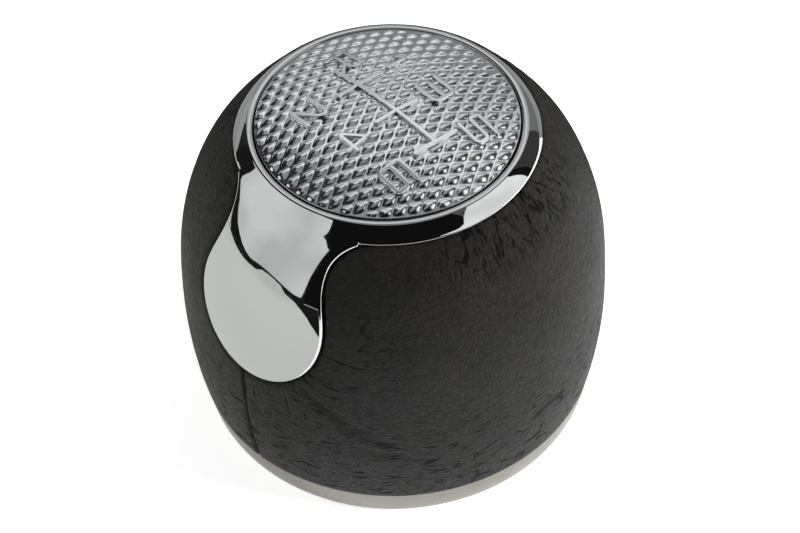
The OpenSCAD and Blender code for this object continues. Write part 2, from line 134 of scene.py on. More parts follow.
class KNOB_PG_cap(bpy.types.PropertyGroup):
    """Sizes of the hobnail cap and its shift pattern."""

    face: colour("Cap", "#dcdfe1", "Colour of the plating on the cap")
    cap_d: length("Cap diameter", 33, "Diameter of the cap")
    dome_h: length("Dome", 2.7, "Height of the dome above the cap's edge")
    cap_t: length("Wall", 1.5, "Wall of the cap")
    stud_pitch: length("Stud pitch", 1.8, "Distance between two hobnail studs")
    stud_h: length("Stud height", 0.3, "Height of a stud")
    stud_land: length("Land", 0.2, "Width of the flat land between studs")
    cap_rim: length("Rim", 0.15, "Width of the smooth rim")
    gate_pitch: length("Gate pitch", 6.8, "Distance between two gates")
    gate_len: length("Gate length", 6.3, "Length of a gate")
    gate_x: length("Gate place", 1.6, "Middle gate's place to the right of the axis")
    gate_y: length("Crossbar place", 0.15, "Crossbar's place ahead of the axis")
    gate_w: length("Gate width", 0.62, "Width of the gates and the crossbar")
    gate_lean: turn("Gate lean", 4, "Lean of the gates to the right")
    bar_tilt: turn("Crossbar tilt", 1.8, "Tilt of the crossbar")
    digit_w: length("Digit width", 4.2, "Width of a digit")
    digit_h: length("Digit height", 3.7, "Height of a digit")
    digit_stroke: length("Stroke", 0.6, "Width of a digit's stroke")
    digit_round: length("Digit corners", 0.6, "How far from a corner a digit's stroke starts to turn")
    pattern_h: length("Pattern height", 0.5, "Height of the pattern above the dome")


class KNOB_PG_ring(bpy.types.PropertyGroup):
    """Sizes of the base ring."""

    face: colour("Ring", "#88857e", "Colour of the satin paint")
    foot_d: length("Foot diameter", 47.8, "Diameter of the ring where it stands")
    ring_t: length("Ring wall", 2, "Wall of the ring")
    ring_step: length("Set-back", 0.25, "Set-back of the ring from the leather's edge")


class KNOB_PG_studio(bpy.types.PropertyGroup):
    """Levels of the studio."""

    floor: colour("Floor", "#f2f2f2", "Colour of the floor")
    fill: number("Fill light", 0.18, "Strength of the world on matt surfaces")


def in_mm(group):
    """The values of a property group, with the lengths in millimetres."""
    values = {}
    for item in group.bl_rna.properties:
        if item.identifier not in ("rna_type", "name"):
            value = getattr(group, item.identifier)
            values[item.identifier] = value / MM if item.unit == "LENGTH" else value
    return SimpleNamespace(**values)


# Surfaces

class BodyCurve:
    """Half section of the knob: a superellipse above the waist and an ellipse below it."""

    def __init__(self, size):
        self.size = size

    def radius(self, z):
        """Radius at height z."""
        s = self.size
        up = np.clip((z - s.waist_z) / s.crown_h, 0, 0.99999)
        down = np.clip((s.waist_z - z) / s.skirt_h, 0, 0.99999)
        crown = (1 - up ** s.crown_power) ** (1 / s.crown_power)
        return s.body_d / 2 * np.where(z > s.waist_z, crown, np.sqrt(1 - down ** 2))

    def skin(self, z, out):
        """Radius and height of the curve's point at z, moved out along its normal."""
        step = 0.01
        slope = (self.radius(z + step) - self.radius(z - step)) / (2 * step)
        n = np.sqrt(1 + slope ** 2)
        return self.radius(z) + out / n, z - out * slope / n

    def crown_z(self, r):
        """Height of the crown at radius r."""
        s = self.size
        share = np.clip(2 * r / s.body_d, 0, 1)
        return s.waist_z + s.crown_h * (1 - share ** s.crown_power) ** (1 / s.crown_power)


def turned(r, angle, z):
    """Points at radius r, angle and height z around the lever's axis."""
    return np.stack(np.broadcast_arrays(r * np.cos(angle), r * np.sin(angle), z), -1)


def spaced(start, end, gap):
    """Values from start to end whose gaps follow gap(t): the running sum of 1 / gap in equal steps."""
    t = np.linspace(start, end, 6001)
    density = 1 / gap(t)
    run = np.concatenate([[0], np.cumsum((density[1:] + density[:-1]) / 2 * np.diff(t))])
    return np.interp(np.linspace(0, run[-1], math.ceil(run[-1]) + 1), run, t)


def smooth(t):
    """Smooth step of t from 0 to 1."""
    t = np.clip(t, 0, 1)
    return t * t * (3 - 2 * t)


def grid_quads(rows, columns, closed):
    """Corners of a grid's quads, anticlockwise from outside; closed joins the last column to the first."""
    j = np.arange(columns if closed else columns - 1)
    i = np.arange(rows - 1)[:, None]
    k = (j + 1) % columns
    corners = [i * columns + j, i * columns + k, (i + 1) * columns + k, (i + 1) * columns + j]
    return np.stack(np.broadcast_arrays(*corners), -1).reshape(-1, 4)


def halved(quads):
    """Two triangles for each quad."""
    return np.concatenate([quads[:, [0, 1, 2]], quads[:, [0, 2, 3]]])


def trimmed(distance, closed):
    """Fits a grid to the line where distance is 0 and keeps the side above 0.

    Of each grid edge that crosses the line, the nearer end is put on it. Quads with one corner
    off the kept side become a triangle. Returns which points go on the line, and the triangles.
    """
    on = np.abs(distance) < 1e-4
    for axis in (0, 1):
        after = np.roll(distance, -1, axis)
        cross = (distance * after < 0) & ~on & ~np.roll(on, -1, axis)
        if axis == 0:
            cross[-1] = False
        elif not closed:
            cross[:, -1] = False
        nearer = np.abs(distance) <= np.abs(after)
        on = on | (cross & nearer) | np.roll(cross & ~nearer, 1, axis)
    keep = (distance > 0) | on
    quads = grid_quads(*distance.shape, closed)
    kept, line = keep.ravel()[quads], on.ravel()[quads]
    whole = quads[kept.all(1) & (line.sum(1) < 4)]
    first = np.where(on.ravel()[whole].sum(1) == 3, on.ravel()[whole].argmin(1), 0)
    whole = np.take_along_axis(whole, (first[:, None] + np.arange(4)) % 4, 1)
    part = quads[(kept.sum(1) == 3)]
    missing = keep.ravel()[part].argmin(1)
    part = np.take_along_axis(part, (missing[:, None] + np.arange(1, 4)) % 4, 1)
    part = part[on.ravel()[part].sum(1) < 3]
    return on, np.concatenate([halved(whole), part])


def border(faces, count):
    """Directed edges that only one triangle has."""
    edges = np.concatenate([faces[:, [0, 1]], faces[:, [1, 2]], faces[:, [2, 0]]])
    there = edges[:, 0] * count + edges[:, 1]
    back = edges[:, 1] * count + edges[:, 0]
    return edges[~np.isin(there, back)]


def strip(edges, shift_a, shift_b):
    """Quads that join the border edges at one level to the same edges at the next."""
    a, b = edges[:, 0], edges[:, 1]
    return np.stack([b + shift_a, a + shift_a, a + shift_b, b + shift_b], -1)


def shell(levels, faces):
    """Closes a sheet: levels run from its front over its border to its back, point for point."""
    count = len(levels[0])
    edges = border(faces, count)
    walls = [halved(strip(edges, k * count, (k + 1) * count)) for k in range(len(levels) - 1)]
    back = faces[:, ::-1] + (len(levels) - 1) * count
    return np.concatenate(levels), np.concatenate([faces, back, *walls])


def lathe(profile, columns):
    """Turns a closed (radius, height) profile round the axis; a radius of 0 is one point."""
    profile = np.array(profile, float)
    angle = np.arange(columns) * TURN / columns
    points = turned(profile[:, :1], angle, profile[:, 1:]).reshape(-1, 3)
    ring = np.concatenate([profile, profile[:1]]) if profile[0, 0] > 0 else profile
    quads = grid_quads(len(ring), columns, True) % len(points)
    pole = np.repeat(profile[:, 0] == 0, columns)
    index = np.where(pole, np.arange(len(points)) // columns * columns, np.arange(len(points)))
    return points, halved(index[quads])


def joined(*parts):
    """Several (points, faces) as one."""
    offsets = np.cumsum([0] + [len(points) for points, _ in parts])
    return (
        np.concatenate([points for points, _ in parts]),
        np.concatenate([faces + offset for (_, faces), offset in zip(parts, offsets)]),
    )


def from_outline(points, outline):
    """Signed distance of points to a closed outline, below 0 inside, and the nearest points on it."""
    a, b = outline, np.roll(outline, -1, 0)
    along = b - a
    rel = points[:, None] - a
    t = np.clip((rel * along).sum(-1) / (along ** 2).sum(-1), 0, 1)
    foot = a + t[..., None] * along
    gap = np.linalg.norm(points[:, None] - foot, axis=-1)
    best = gap.argmin(1)
    pick = np.arange(len(points))
    y = points[:, 1:]
    rise = np.where(along[:, 1] == 0, 1e-12, along[:, 1])
    meets = along[:, 0] * (y - a[:, 1]) / rise + a[:, 0]
    crosses = ((a[:, 1] > y) != (b[:, 1] > y)) & (points[:, :1] < meets)
    inside = crosses.sum(1) % 2 == 1
    return np.where(inside, -gap[pick, best], gap[pick, best]), foot[pick, best]


def placed(name, data):
    """A new object in the scene that holds data."""
    made = bpy.data.objects.new(name, data)
    bpy.context.scene.collection.objects.link(made)
    return made


def put(name, points, faces, material, slot, node, sharp, normals=None, fields=None):
    """Makes a piece of (points in mm, triangles) that rides on the root body and replaces a node.

    Edges sharper than sharp degrees stay sharp. Fields are vectors for each point that its material
    reads by name.
    """
    same = (faces[:, 0] == faces[:, 1]) | (faces[:, 1] == faces[:, 2]) | (faces[:, 2] == faces[:, 0])
    faces = faces[~same]
    used, inverse = np.unique(faces, return_inverse=True)
    mesh = bpy.data.meshes.new(name)
    mesh.from_pydata(points[used] * MM, [], inverse.reshape(faces.shape))
    mesh.polygons.foreach_set("use_smooth", np.ones(len(faces), bool))
    mesh.set_sharp_from_angle(angle=math.radians(sharp))
    mesh.validate()
    mesh.update()
    if normals is not None:
        mesh.normals_split_custom_set_from_vertices(normals[used])
    for key, values in (fields or {}).items():
        field = mesh.attributes.new(key, "FLOAT_VECTOR", "POINT")
        field.data.foreach_set("vector", values[used].astype(np.float32).ravel())
    mesh.materials.append(material)
    piece = placed(name, mesh)
    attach(piece, "root")
    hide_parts(node)
    return piece


# Thumb plate's outline, shared by the plate and the hole in the leather

class PlateForm:
    """The plate's outline on the body: seen from outside, x across and y up."""

    def __init__(self, body, plate):
        self.curve = BodyCurve(body)
        self.size = plate
        self.low = plate.bulb_z - plate.bulb_drop
        self.angle = plate.plate_angle
        self.table = np.linspace(self.low - 3, plate.collar_z + 2.5, 900)
        self.edge = self.face(plate.collar_z)[1]

    def proud(self, z):
        """How far the face stands out of the leather: it grows from the plate's end to the collar."""
        s = self.size
        share = np.clip((z - self.low) / (s.collar_z - self.low), 0, 1)
        return s.plate_proud + (s.collar_proud - s.plate_proud) * share

    def face(self, z):
        """Radius and height of the plated face at z."""
        return self.curve.skin(z, self.proud(z))

    def side(self, grow, top):
        """Half outline from the fillet's top to the bottom: fillet arc, eased neck and half ellipse."""
        s = self.size
        a = np.radians(np.linspace(90, 0, 24))
        r = s.neck_fillet - grow
        fillet = np.stack([s.neck_w / 2 + s.neck_fillet - r * np.cos(a), top - r + r * np.sin(a)], -1)
        t = np.linspace(1, 0, 42)[1:-1]
        ease = (1 - np.cos(np.pi * (1 - t))) / 2
        neck_half, bulb_half = s.neck_w / 2 + grow, s.bulb_w / 2 + grow
        neck_top = top - r
        across = neck_half + (bulb_half - neck_half) * ease
        neck = np.stack([across, s.bulb_z + t * (neck_top - s.bulb_z)], -1)
        b = np.radians(np.linspace(0, 90, 48))
        bulb = np.stack([bulb_half * np.cos(b), s.bulb_z - (s.bulb_drop + grow) * np.sin(b)], -1)
        return np.concatenate([fillet, neck, bulb])

    def outline(self, grow, top, out=None, wide=0.0):
        """Closed outline on the face, or carried along the normal to the surface that stands out by out.

        Above the fillets it runs out level by wide, so that the plate and the collar's ring are one form.
        """
        side = self.side(grow, top)
        if out is not None:
            angle, z = self.place(side)
            r, h = self.curve.skin(z, out)
            side = np.stack([r * np.sin(angle), h], -1)
        other = side[::-1][1:] * [-1, 1]
        x, y = side[0, 0] + wide, side[0, 1]
        start, end = [[x, y + 6], [x, y]], [[-x, y], [-x, y + 6]]
        if wide == 0:
            start, end = start[:1], end[1:]
        return np.concatenate([start, side, other, end])

    def place(self, xy, out=None):
        """Angle from the plate's middle, and z, of the points at outline places xy, as in flat."""
        r, h = self.face(self.table) if out is None else self.curve.skin(self.table, out)
        z = np.interp(xy[:, 1], h, self.table)
        radius = np.interp(xy[:, 1], h, r)
        return np.arcsin(np.clip(xy[:, 0] / radius, -1, 1)), z

    def flat(self, angle, z, out=None):
        """Outline places of points of the face, or of the surface that stands out by out."""
        r, h = self.face(z) if out is None else self.curve.skin(z, out)
        return np.stack([r * np.sin(angle), h], -1)


# Materials

def add(tree, kind, values=(), **settings):
    """Adds a node: values go to its inputs, in order or by name or number, and a socket becomes a link.

    Settings are set on the node itself.
    """
    node = tree.nodes.new("ShaderNode" + kind)
    for key, value in settings.items():
        setattr(node, key, value)
    for key, value in values.items() if isinstance(values, dict) else enumerate(values):
        if isinstance(value, bpy.types.NodeSocket):
            tree.links.new(value, node.inputs[key])
        else:
            node.inputs[key].default_value = value
    return node


def emptied(owner):
    """The node tree of a material or world, without its default nodes."""
    owner.use_nodes = True
    owner.node_tree.nodes.clear()
    return owner.node_tree


def material(name, pattern):
    """A node material: pattern(tree, where) adds its nodes and returns what the shader's inputs take."""
    made = bpy.data.materials.new(name)
    tree = emptied(made)
    where = add(tree, "TexCoord").outputs["Object"]
    shader = add(tree, "BsdfPrincipled", pattern(tree, where))
    add(tree, "OutputMaterial", (shader.outputs[0],))
    return made


def rgba(value, share=1.0):
    """A colour times share, with an alpha of 1."""
    return (*(part * share for part in value), 1.0)


def per_mm(size):
    """Texture scale for a feature of that size in millimetres."""
    return 1 / (size * MM)


def cracks_along(tree, field, along, across, width, mask, wander, patch):
    """Wandering cracks where a stretched noise crosses its middle: 1 on a crack, times the mask.

    The noise is along mm long in the field's first direction and across mm in its second. A second
    noise of patch mm breaks the cracks up into single ones with thin ends.
    """
    longest = max(along, across)
    stretch = (longest / along, longest / across, 1.0)
    place = add(tree, "Mapping", {"Vector": field, "Scale": stretch}).outputs[0]
    noise = add(tree, "TexNoise", {
        "Vector": place, "Scale": per_mm(longest), "Detail": 1.0, "Roughness": 0.5, "Distortion": wander,
    }).outputs[0]
    off = add(tree, "Math", (noise, 0.5), operation="SUBTRACT").outputs[0]
    off = add(tree, "Math", (off,), operation="ABSOLUTE").outputs[0]
    broken = add(tree, "TexNoise", {"Vector": field, "Scale": per_mm(patch), "Detail": 1.0}).outputs[0]
    open_width = add(tree, "MapRange", (broken, 0.46, 0.62, 0.002, width)).outputs[0]
    share = add(tree, "Math", (off, open_width), operation="DIVIDE").outputs[0]
    crack = add(tree, "MapRange", (share, 0.0, 1.0, 1.0, 0.0)).outputs[0]
    return add(tree, "Math", (crack, mask), operation="MULTIPLY").outputs[0]


def nappa(face):
    """Dyed nappa leather: pebbled grain, wrinkles that follow the pull of the cover, and a low soft sheen.

    The pebbles are 0.6 mm wide, the finest grain that still shows in the render.
    """
    def pattern(tree, where):
        wrap, fan, strain = (
            add(tree, "Attribute", attribute_name=name, attribute_type="GEOMETRY").outputs["Vector"]
            for name in ("wrap", "fan", "strain")
        )
        gather, folds, belly = add(tree, "SeparateXYZ", (strain,)).outputs
        wobble = add(tree, "TexNoise", {"Vector": where, "Scale": per_mm(1.4), "Detail": 2.0})
        bent = add(tree, "VectorMath", (wobble.outputs["Color"], (0.4 * MM,) * 3), operation="MULTIPLY")
        place = add(tree, "VectorMath", (where, bent.outputs[0]), operation="ADD").outputs[0]
        cells = add(tree, "TexVoronoi", {"Vector": place, "Scale": per_mm(0.6)}, feature="DISTANCE_TO_EDGE")
        pebble = add(tree, "MapRange", (cells.outputs["Distance"], 0.0, 0.22, 0.0, 1.0)).outputs[0]
        fine = add(tree, "TexNoise", {
            "Vector": place, "Scale": per_mm(0.8), "Detail": 5.0, "Roughness": 0.7,
        }).outputs[0]
        grain = add(tree, "MapRange", (fine, 0.3, 0.7, 0.0, 1.0)).outputs[0]
        broad = add(tree, "TexNoise", {"Vector": where, "Scale": per_mm(7), "Detail": 3.0}).outputs[0]

        # Gathers under the collar, folds round the thumb plate and wrinkles on the belly
        cracks = cracks_along(tree, wrap, 2.4, 9.0, 0.085, gather, 0.3, 2.0)
        for more in (
            cracks_along(tree, wrap, 1.5, 6.0, 0.055, gather, 0.4, 1.8),
            cracks_along(tree, fan, 2.0, 8.0, 0.065, folds, 0.4, 2.0),
            cracks_along(tree, wrap, 6.0, 1.7, 0.06, belly, 0.5, 2.2),
        ):
            cracks = add(tree, "Math", (cracks, more), operation="MAXIMUM").outputs[0]
        whole = add(tree, "MapRange", (cracks, 0.0, 1.0, 1.0, 0.0)).outputs[0]

        normal = add(tree, "Bump", {"Height": grain, "Distance": 0.1 * MM}).outputs[0]
        normal = add(tree, "Bump", {"Height": pebble, "Distance": 0.035 * MM, "Normal": normal}).outputs[0]
        normal = add(tree, "Bump", {"Height": whole, "Distance": 0.26 * MM, "Normal": normal}).outputs[0]

        # The dye's tone varies in broad patches, and painted shade darkens the low places of the fine grain,
        # the cracks and the furrows between pebbles
        pooled = add(tree, "MapRange", (broad, 0.3, 0.7, 0.0, 0.5)).outputs[0]
        # Painted shade: lighter where the fine grain stands high, darker where it lies low
        painted_grain_shade = add(tree, "MapRange", (fine, 0.3, 0.7, 0.0, 0.5)).outputs[0]
        tone = add(tree, "Math", (pooled, painted_grain_shade), operation="ADD").outputs[0]
        dye_and_grain_shade = add(
            tree, "Mix", {0: tone, 6: rgba(face, 0.6), 7: rgba(face, 1.45)}, data_type="RGBA",
        ).outputs[2]
        # Painted shade in the furrows between pebbles and in the cracks, multiplied into the colour
        painted_furrow_shade = add(tree, "MapRange", (pebble, 0.0, 1.0, 0.6, 1.0)).outputs[0]
        painted_crease_shade = add(tree, "Math", (whole, painted_furrow_shade), operation="MULTIPLY").outputs[0]
        shade = add(tree, "MapRange", (painted_crease_shade, 0.0, 1.0, 0.12, 1.0)).outputs[0]
        base = add(tree, "VectorMath", (dye_and_grain_shade, shade), operation="MULTIPLY").outputs[0]
        worn = add(tree, "MapRange", (fine, 0.3, 0.7, 0.6, 0.42)).outputs[0]
        torn = add(tree, "MapRange", (whole, 0.0, 1.0, 0.35, 0.0)).outputs[0]
        rough = add(tree, "Math", (worn, torn), operation="ADD").outputs[0]
        return {
            "Base Color": base, "Roughness": rough, "Normal": normal, "IOR": 1.4, "Specular IOR Level": 0.2,
        }
    return material("nappa_leather", pattern)


def bright_plating(name, face, low, high):
    """Bright chromium plating on polished plastic: mirror-like, with faint hazing in broad patches."""
    def pattern(tree, where):
        haze = add(tree, "TexNoise", {"Vector": where, "Scale": per_mm(7), "Detail": 3.0}).outputs[0]
        fine = add(tree, "TexNoise", {"Vector": where, "Scale": per_mm(0.5), "Detail": 2.0}).outputs[0]
        tone = add(tree, "MapRange", (haze, 0.3, 0.7, 0.0, 1.0)).outputs[0]
        return {
            "Base Color": add(
                tree, "Mix", {0: tone, 6: rgba(face, 0.97), 7: rgba(face)}, data_type="RGBA",
            ).outputs[2],
            "Roughness": add(tree, "MapRange", (haze, 0.3, 0.7, low, high)).outputs[0],
            "Normal": add(tree, "Bump", {"Height": fine, "Distance": 0.0004 * MM}).outputs[0],
            "Metallic": 1.0,
        }
    return material(name, pattern)


def satin_paint(face):
    """Satin silver paint on moulded plastic: fine metal flake under a soft, broad highlight.

    Real flake is finer than 0.05 mm. It is drawn 0.16 mm wide so that it shows.
    """
    def pattern(tree, where):
        flake = add(tree, "TexVoronoi", {"Vector": where, "Scale": per_mm(0.16)})
        tone = add(tree, "SeparateColor", (flake.outputs["Color"],)).outputs[0]
        broad = add(tree, "TexNoise", {"Vector": where, "Scale": per_mm(5), "Detail": 3.0}).outputs[0]
        return {
            "Base Color": add(
                tree, "Mix", {0: tone, 6: rgba(face, 0.9), 7: rgba(face, 1.08)}, data_type="RGBA",
            ).outputs[2],
            "Roughness": add(tree, "MapRange", (broad, 0.3, 0.7, 0.36, 0.46)).outputs[0],
            "Normal": add(tree, "Bump", {"Height": tone, "Distance": 0.003 * MM}).outputs[0],
            "Metallic": 0.75,
        }
    return material("satin_silver_paint", pattern)


def moulded(name, dark, light, grain, depth, rough):
    """Moulded nylon, ABS or rubber: a matt spark-eroded grain, and pale flow where the fibres lie."""
    def pattern(tree, where):
        skin = add(tree, "TexNoise", {"Vector": where, "Scale": per_mm(grain), "Detail": 4.0}).outputs[0]
        flow = add(tree, "TexNoise", {
            "Vector": where, "Scale": per_mm(6), "Detail": 3.0, "Distortion": 1.0,
        }).outputs[0]
        tone = add(tree, "MapRange", (flow, 0.35, 0.65, 0.0, 1.0)).outputs[0]
        colours = {0: tone, 6: rgba(linear(dark)), 7: rgba(linear(light))}
        return {
            "Base Color": add(tree, "Mix", colours, data_type="RGBA").outputs[2],
            "Roughness": add(tree, "MapRange", (skin, 0.3, 0.7, rough - 0.06, rough + 0.06)).outputs[0],
            "Normal": add(tree, "Bump", {"Height": skin, "Distance": depth * MM}).outputs[0],
        }
    return material(name, pattern)


def moulded_foam():
    """Moulded polyurethane foam: warm grey, with open cells of about half a millimetre and painted shade in
    their hollows.
    """
    def pattern(tree, where):
        cells = add(tree, "TexVoronoi", {"Vector": where, "Scale": per_mm(0.55)}).outputs["Distance"]
        pores = add(tree, "MapRange", (cells, 0.05, 0.45, 0.0, 1.0)).outputs[0]
        # Painted shade: the colour is darker at the bottom of each cell, where the bump lies lowest
        colours = {0: pores, 6: rgba(linear("#6f6a5b")), 7: rgba(linear("#a39c88"))}
        return {
            "Base Color": add(tree, "Mix", colours, data_type="RGBA").outputs[2],
            "Normal": add(tree, "Bump", {"Height": pores, "Distance": 0.12 * MM}).outputs[0],
            "Roughness": 0.9,
        }
    return material("moulded_foam", pattern)


def drawn_steel(name, dark, light):
    """Zinc-plated or stainless steel: fine drawing marks round the part, and a grey sheen."""
    def pattern(tree, where):
        place = add(tree, "Mapping", {"Vector": where, "Scale": (1.0, 1.0, 14.0)}).outputs[0]
        marks = add(tree, "TexNoise", {"Vector": place, "Scale": per_mm(1.6), "Detail": 4.0}).outputs[0]
        tone = add(tree, "MapRange", (marks, 0.3, 0.7, 0.0, 1.0)).outputs[0]
        colours = {0: tone, 6: rgba(linear(dark)), 7: rgba(linear(light))}
        return {
            "Base Color": add(tree, "Mix", colours, data_type="RGBA").outputs[2],
            "Roughness": add(tree, "MapRange", (marks, 0.3, 0.7, 0.28, 0.42)).outputs[0],
            "Normal": add(tree, "Bump", {"Height": marks, "Distance": 0.004 * MM}).outputs[0],
            "Metallic": 1.0,
        }
    return material(name, pattern)


# Leather cover

def rolled(share):
    """Drop of a quarter-round edge: 1 at the edge, 0 where the round begins."""
    u = np.clip(1 - share, 0, 1)
    return 1 - np.sqrt(1 - u ** 2)


def creases(arc, run, starts, depth):
    """Sum of curved grooves: each has a Gaussian section and fades at its ends.

    Each start has the groove's place round and up the cover, its angle, length, bend, width and share.
    """
    sunk = np.zeros_like(arc)
    for x, y, angle, size, bend, width, share in starts:
        dx, dy = arc - x, run - y
        along = dx * math.cos(angle) + dy * math.sin(angle)
        across = dy * math.cos(angle) - dx * math.sin(angle) - bend * along ** 2 / size
        fade = smooth((along + 0.6) / 1.2) * smooth((size - along) / (0.45 * size))
        sunk += share * np.exp(-(across / width) ** 2) * fade
    return depth * sunk


class KNOB_OT_leather_cover(bpy.types.Operator):
    """Builds the stretched leather cover with its rolled edges, seam and creases"""

    bl_idname = "knob.leather_cover"
    bl_label = "Leather Cover"

    def execute(self, context):
        scene = context.scene
        body, skin, plate = in_mm(scene.knob_body), in_mm(scene.knob_leather), in_mm(scene.knob_plate)
        curve, form = BodyCurve(body), PlateForm(body, plate)
        half = body.body_d / 2
        seam = plate.plate_angle + skin.seam_offset
        middle = SEEN - seam

        def column_gap(a):
            """Radians between two columns: fine on the side that is seen, and finest at the seam."""
            fine, coarser, seam_share, seam_reach = 0.33, 0.5, 0.68, 0.8
            away = np.abs((a - middle + math.pi) % TURN - math.pi)
            gap = fine + coarser * smooth((away - math.radians(94)) / 0.25)
            near = np.minimum(a, TURN - a) * half
            return gap * (1 - seam_share * np.exp(-(near / seam_reach) ** 2)) / half

        angle = spaced(0, TURN, column_gap)[:-1]
        z_fine = np.linspace(body.ring_h, plate.collar_z, 3000)
        r_fine = curve.radius(z_fine)
        run_fine = np.concatenate([[0], np.cumsum(np.hypot(np.diff(z_fine), np.diff(r_fine)))])
        total = run_fine[-1]

        def row_gap(t):
            """Millimetres between two rows: finest at the rolled edges."""
            coarse, edge_finer, edge_reach = 0.41, 0.27, 0.9
            return coarse - edge_finer * np.exp(-(np.minimum(t, total - t) / edge_reach) ** 2)

        run = spaced(0, total, row_gap)
        z = np.interp(run, run_fine, z_fine)
        shape = (len(run), len(angle))
        turn_at = np.broadcast_to(angle + seam, shape).copy()
        z_at = np.broadcast_to(z[:, None], shape).copy()
        gap, near = self.hole(form, turn_at, z_at)
        on, faces = trimmed(gap, True)
        moved_angle, moved_z = form.place(near[on], 0.0)
        turn_at[on] = moved_angle + form.angle
        z_at[on] = moved_z
        gap[on] = 0
        run_at = np.interp(z_at, z_fine, run_fine)
        drop = self.relief(skin, curve, form, seam, turn_at, run_at, total, gap, z_at)

        def sheet(out):
            """The cover's points, carried out of the leather's face by out."""
            r, h = curve.skin(z_at, out)
            return turned(r, turn_at, h).reshape(-1, 3)

        front, back = sheet(-drop), sheet(-body.leather_t)
        low = z_at.ravel() <= body.ring_h + 1e-6
        back[low, 2] = body.ring_h
        verts, tris = shell([front, front * 0.5 + back * 0.5, back], faces)
        fields = self.fields(plate, curve, form, seam, turn_at, total - run_at, gap, z_at)
        fields = {key: np.tile(values.reshape(-1, 3), (3, 1)) for key, values in fields.items()}
        look = nappa(tuple(skin.face))
        piece = put(
            "leather_cover_stretched", verts, tris, look, "leather", "leather_cover", 60, fields=fields,
        )
        return {"FINISHED"}

    @staticmethod
    def hole(form, angle, z):
        """Distance to the hole for the plate, and the nearest places on its outline.

        The distance is only worked out near the plate, and is far elsewhere.
        """
        far, clearance = 50.0, 0.1
        away = (angle - form.angle + math.pi) % TURN - math.pi
        gap = np.full(angle.shape, far)
        near = np.zeros(angle.shape + (2,))
        close = (np.abs(away) < math.radians(50)) & (z > form.low - 4)
        flat = form.flat(away[close], z[close], 0.0)
        gap[close], near[close] = from_outline(flat, form.outline(clearance, form.edge, 0.0))
        return gap, near

    @staticmethod
    def fields(plate, curve, form, seam, angle, below, gap, z):
        """Where and how the leather is pulled: below is the distance from the collar's edge.

        wrap is the distance round the body and below the collar, fan the same round and away from
        the middle of the thumb plate's round end, and strain the shares of gathers at the collar,
        folds at the round end and wrinkles on the belly.
        """
        half = curve.size.body_d / 2
        away = (angle - form.angle + math.pi) % TURN - math.pi
        x, up = half * away, z - plate.bulb_z
        fan_turn = np.arctan2(x, -up)
        reach = np.hypot(x, up)
        side = np.degrees(away)
        right = smooth((side - 48) / 20) * smooth((135 - side) / 25)
        left = smooth((-side - 45) / 20) * 0.6
        gather = smooth((9 - below) / 6) * (0.03 + 0.97 * np.maximum(right, left))
        lower = smooth((np.degrees(fan_turn) + 15) / 25) * smooth((118 - np.degrees(fan_turn)) / 22)
        folds = lower * (0.55 * smooth((13 - gap) / 9) + 0.45 * smooth((5.5 - gap) / 4))
        belly = smooth((26 - z) / 14) * 0.6 + 0.08
        zero = np.zeros_like(z)
        wrap, fan_r = ((angle - seam) % TURN) * half, 11
        return {
            "wrap": np.stack([wrap, below, zero], -1) * MM,
            "fan": np.stack([fan_turn * fan_r, reach, zero], -1) * MM,
            "strain": np.stack([gather, folds, belly], -1),
        }

    @staticmethod
    def relief(skin, curve, form, seam, angle, run, total, gap, z):
        """Depth of the surface below the drawn body: rolled edges, seam, creases and soft hollows."""
        half = curve.size.body_d / 2
        rng = np.random.default_rng(skin.seed)
        arc = ((angle - seam + math.pi) % TURN - math.pi) * half
        edge = np.maximum.reduce([
            skin.plate_roll * rolled(gap / 1.0),
            skin.collar_roll * rolled((total - run) / 0.6),
            0.35 * rolled(run / 0.8),
        ])
        width = 0.75 - 0.3 * smooth((run - 2) / 14)
        open_seam = skin.seam_depth * rolled(np.abs(arc) / width) * smooth((form.low + 2.2 - z) / 1.0)

        # Grooves at the collar, over the foot beside the seam, fanned out at the plate, and all over
        starts = []
        front = (SEEN - seam) * half
        for _ in range(64):
            starts.append((
                front + rng.uniform(-1, 1) * 95, total - rng.uniform(0.2, 1.2),
                -math.pi / 2 + rng.normal(0, 0.35), rng.uniform(2.5, 7.5), rng.normal(0, 0.12),
                rng.uniform(0.3, 0.5), rng.uniform(0.4, 1.1),
            ))
        for _ in range(26):
            starts.append((
                rng.uniform(-9, 16), rng.uniform(3, 15),
                math.pi / 2 + rng.normal(0.1, 0.45), rng.uniform(2, 6), rng.normal(0, 0.2),
                rng.uniform(0.32, 0.5), rng.uniform(0.3, 0.8),
            ))
        for k in range(9):
            starts.append((
                9 + 1.1 * k, 21 - 1.3 * k + rng.normal(0, 0.5),
                -0.75 + 0.05 * k, rng.uniform(7, 12), 0.16,
                rng.uniform(0.35, 0.6), rng.uniform(0.6, 1.2),
            ))
        for _ in range(120):
            starts.append((
                front + rng.uniform(-1, 1) * 80, rng.uniform(2, 32),
                rng.normal(0, 0.35), rng.uniform(2, 7), rng.normal(0, 0.12),
                rng.uniform(0.3, 0.5), rng.uniform(0.15, 0.45),
            ))
        wrap = (arc + math.pi * half) % (TURN * half) - math.pi * half
        shown = wrap + np.where(wrap < -math.pi * half * 0.45, TURN * half, 0)
        sunk = creases(shown, run, starts, skin.crease_depth)

        # Soft hollows: a sum of low waves round and up the cover
        soft = np.zeros_like(arc)
        for _ in range(14):
            turns, up, height = rng.integers(1, 7), rng.uniform(0.06, 0.5), rng.normal(0, 0.018)
            around, along = rng.uniform(0, TURN), rng.uniform(0, TURN)
            soft += height * np.sin(turns * angle + around) * np.sin(up * run + along)
        return np.maximum(edge, open_seam) + sunk * smooth(gap / 0.8) + np.maximum(soft + 0.03, 0)


# Plated collar and thumb plate

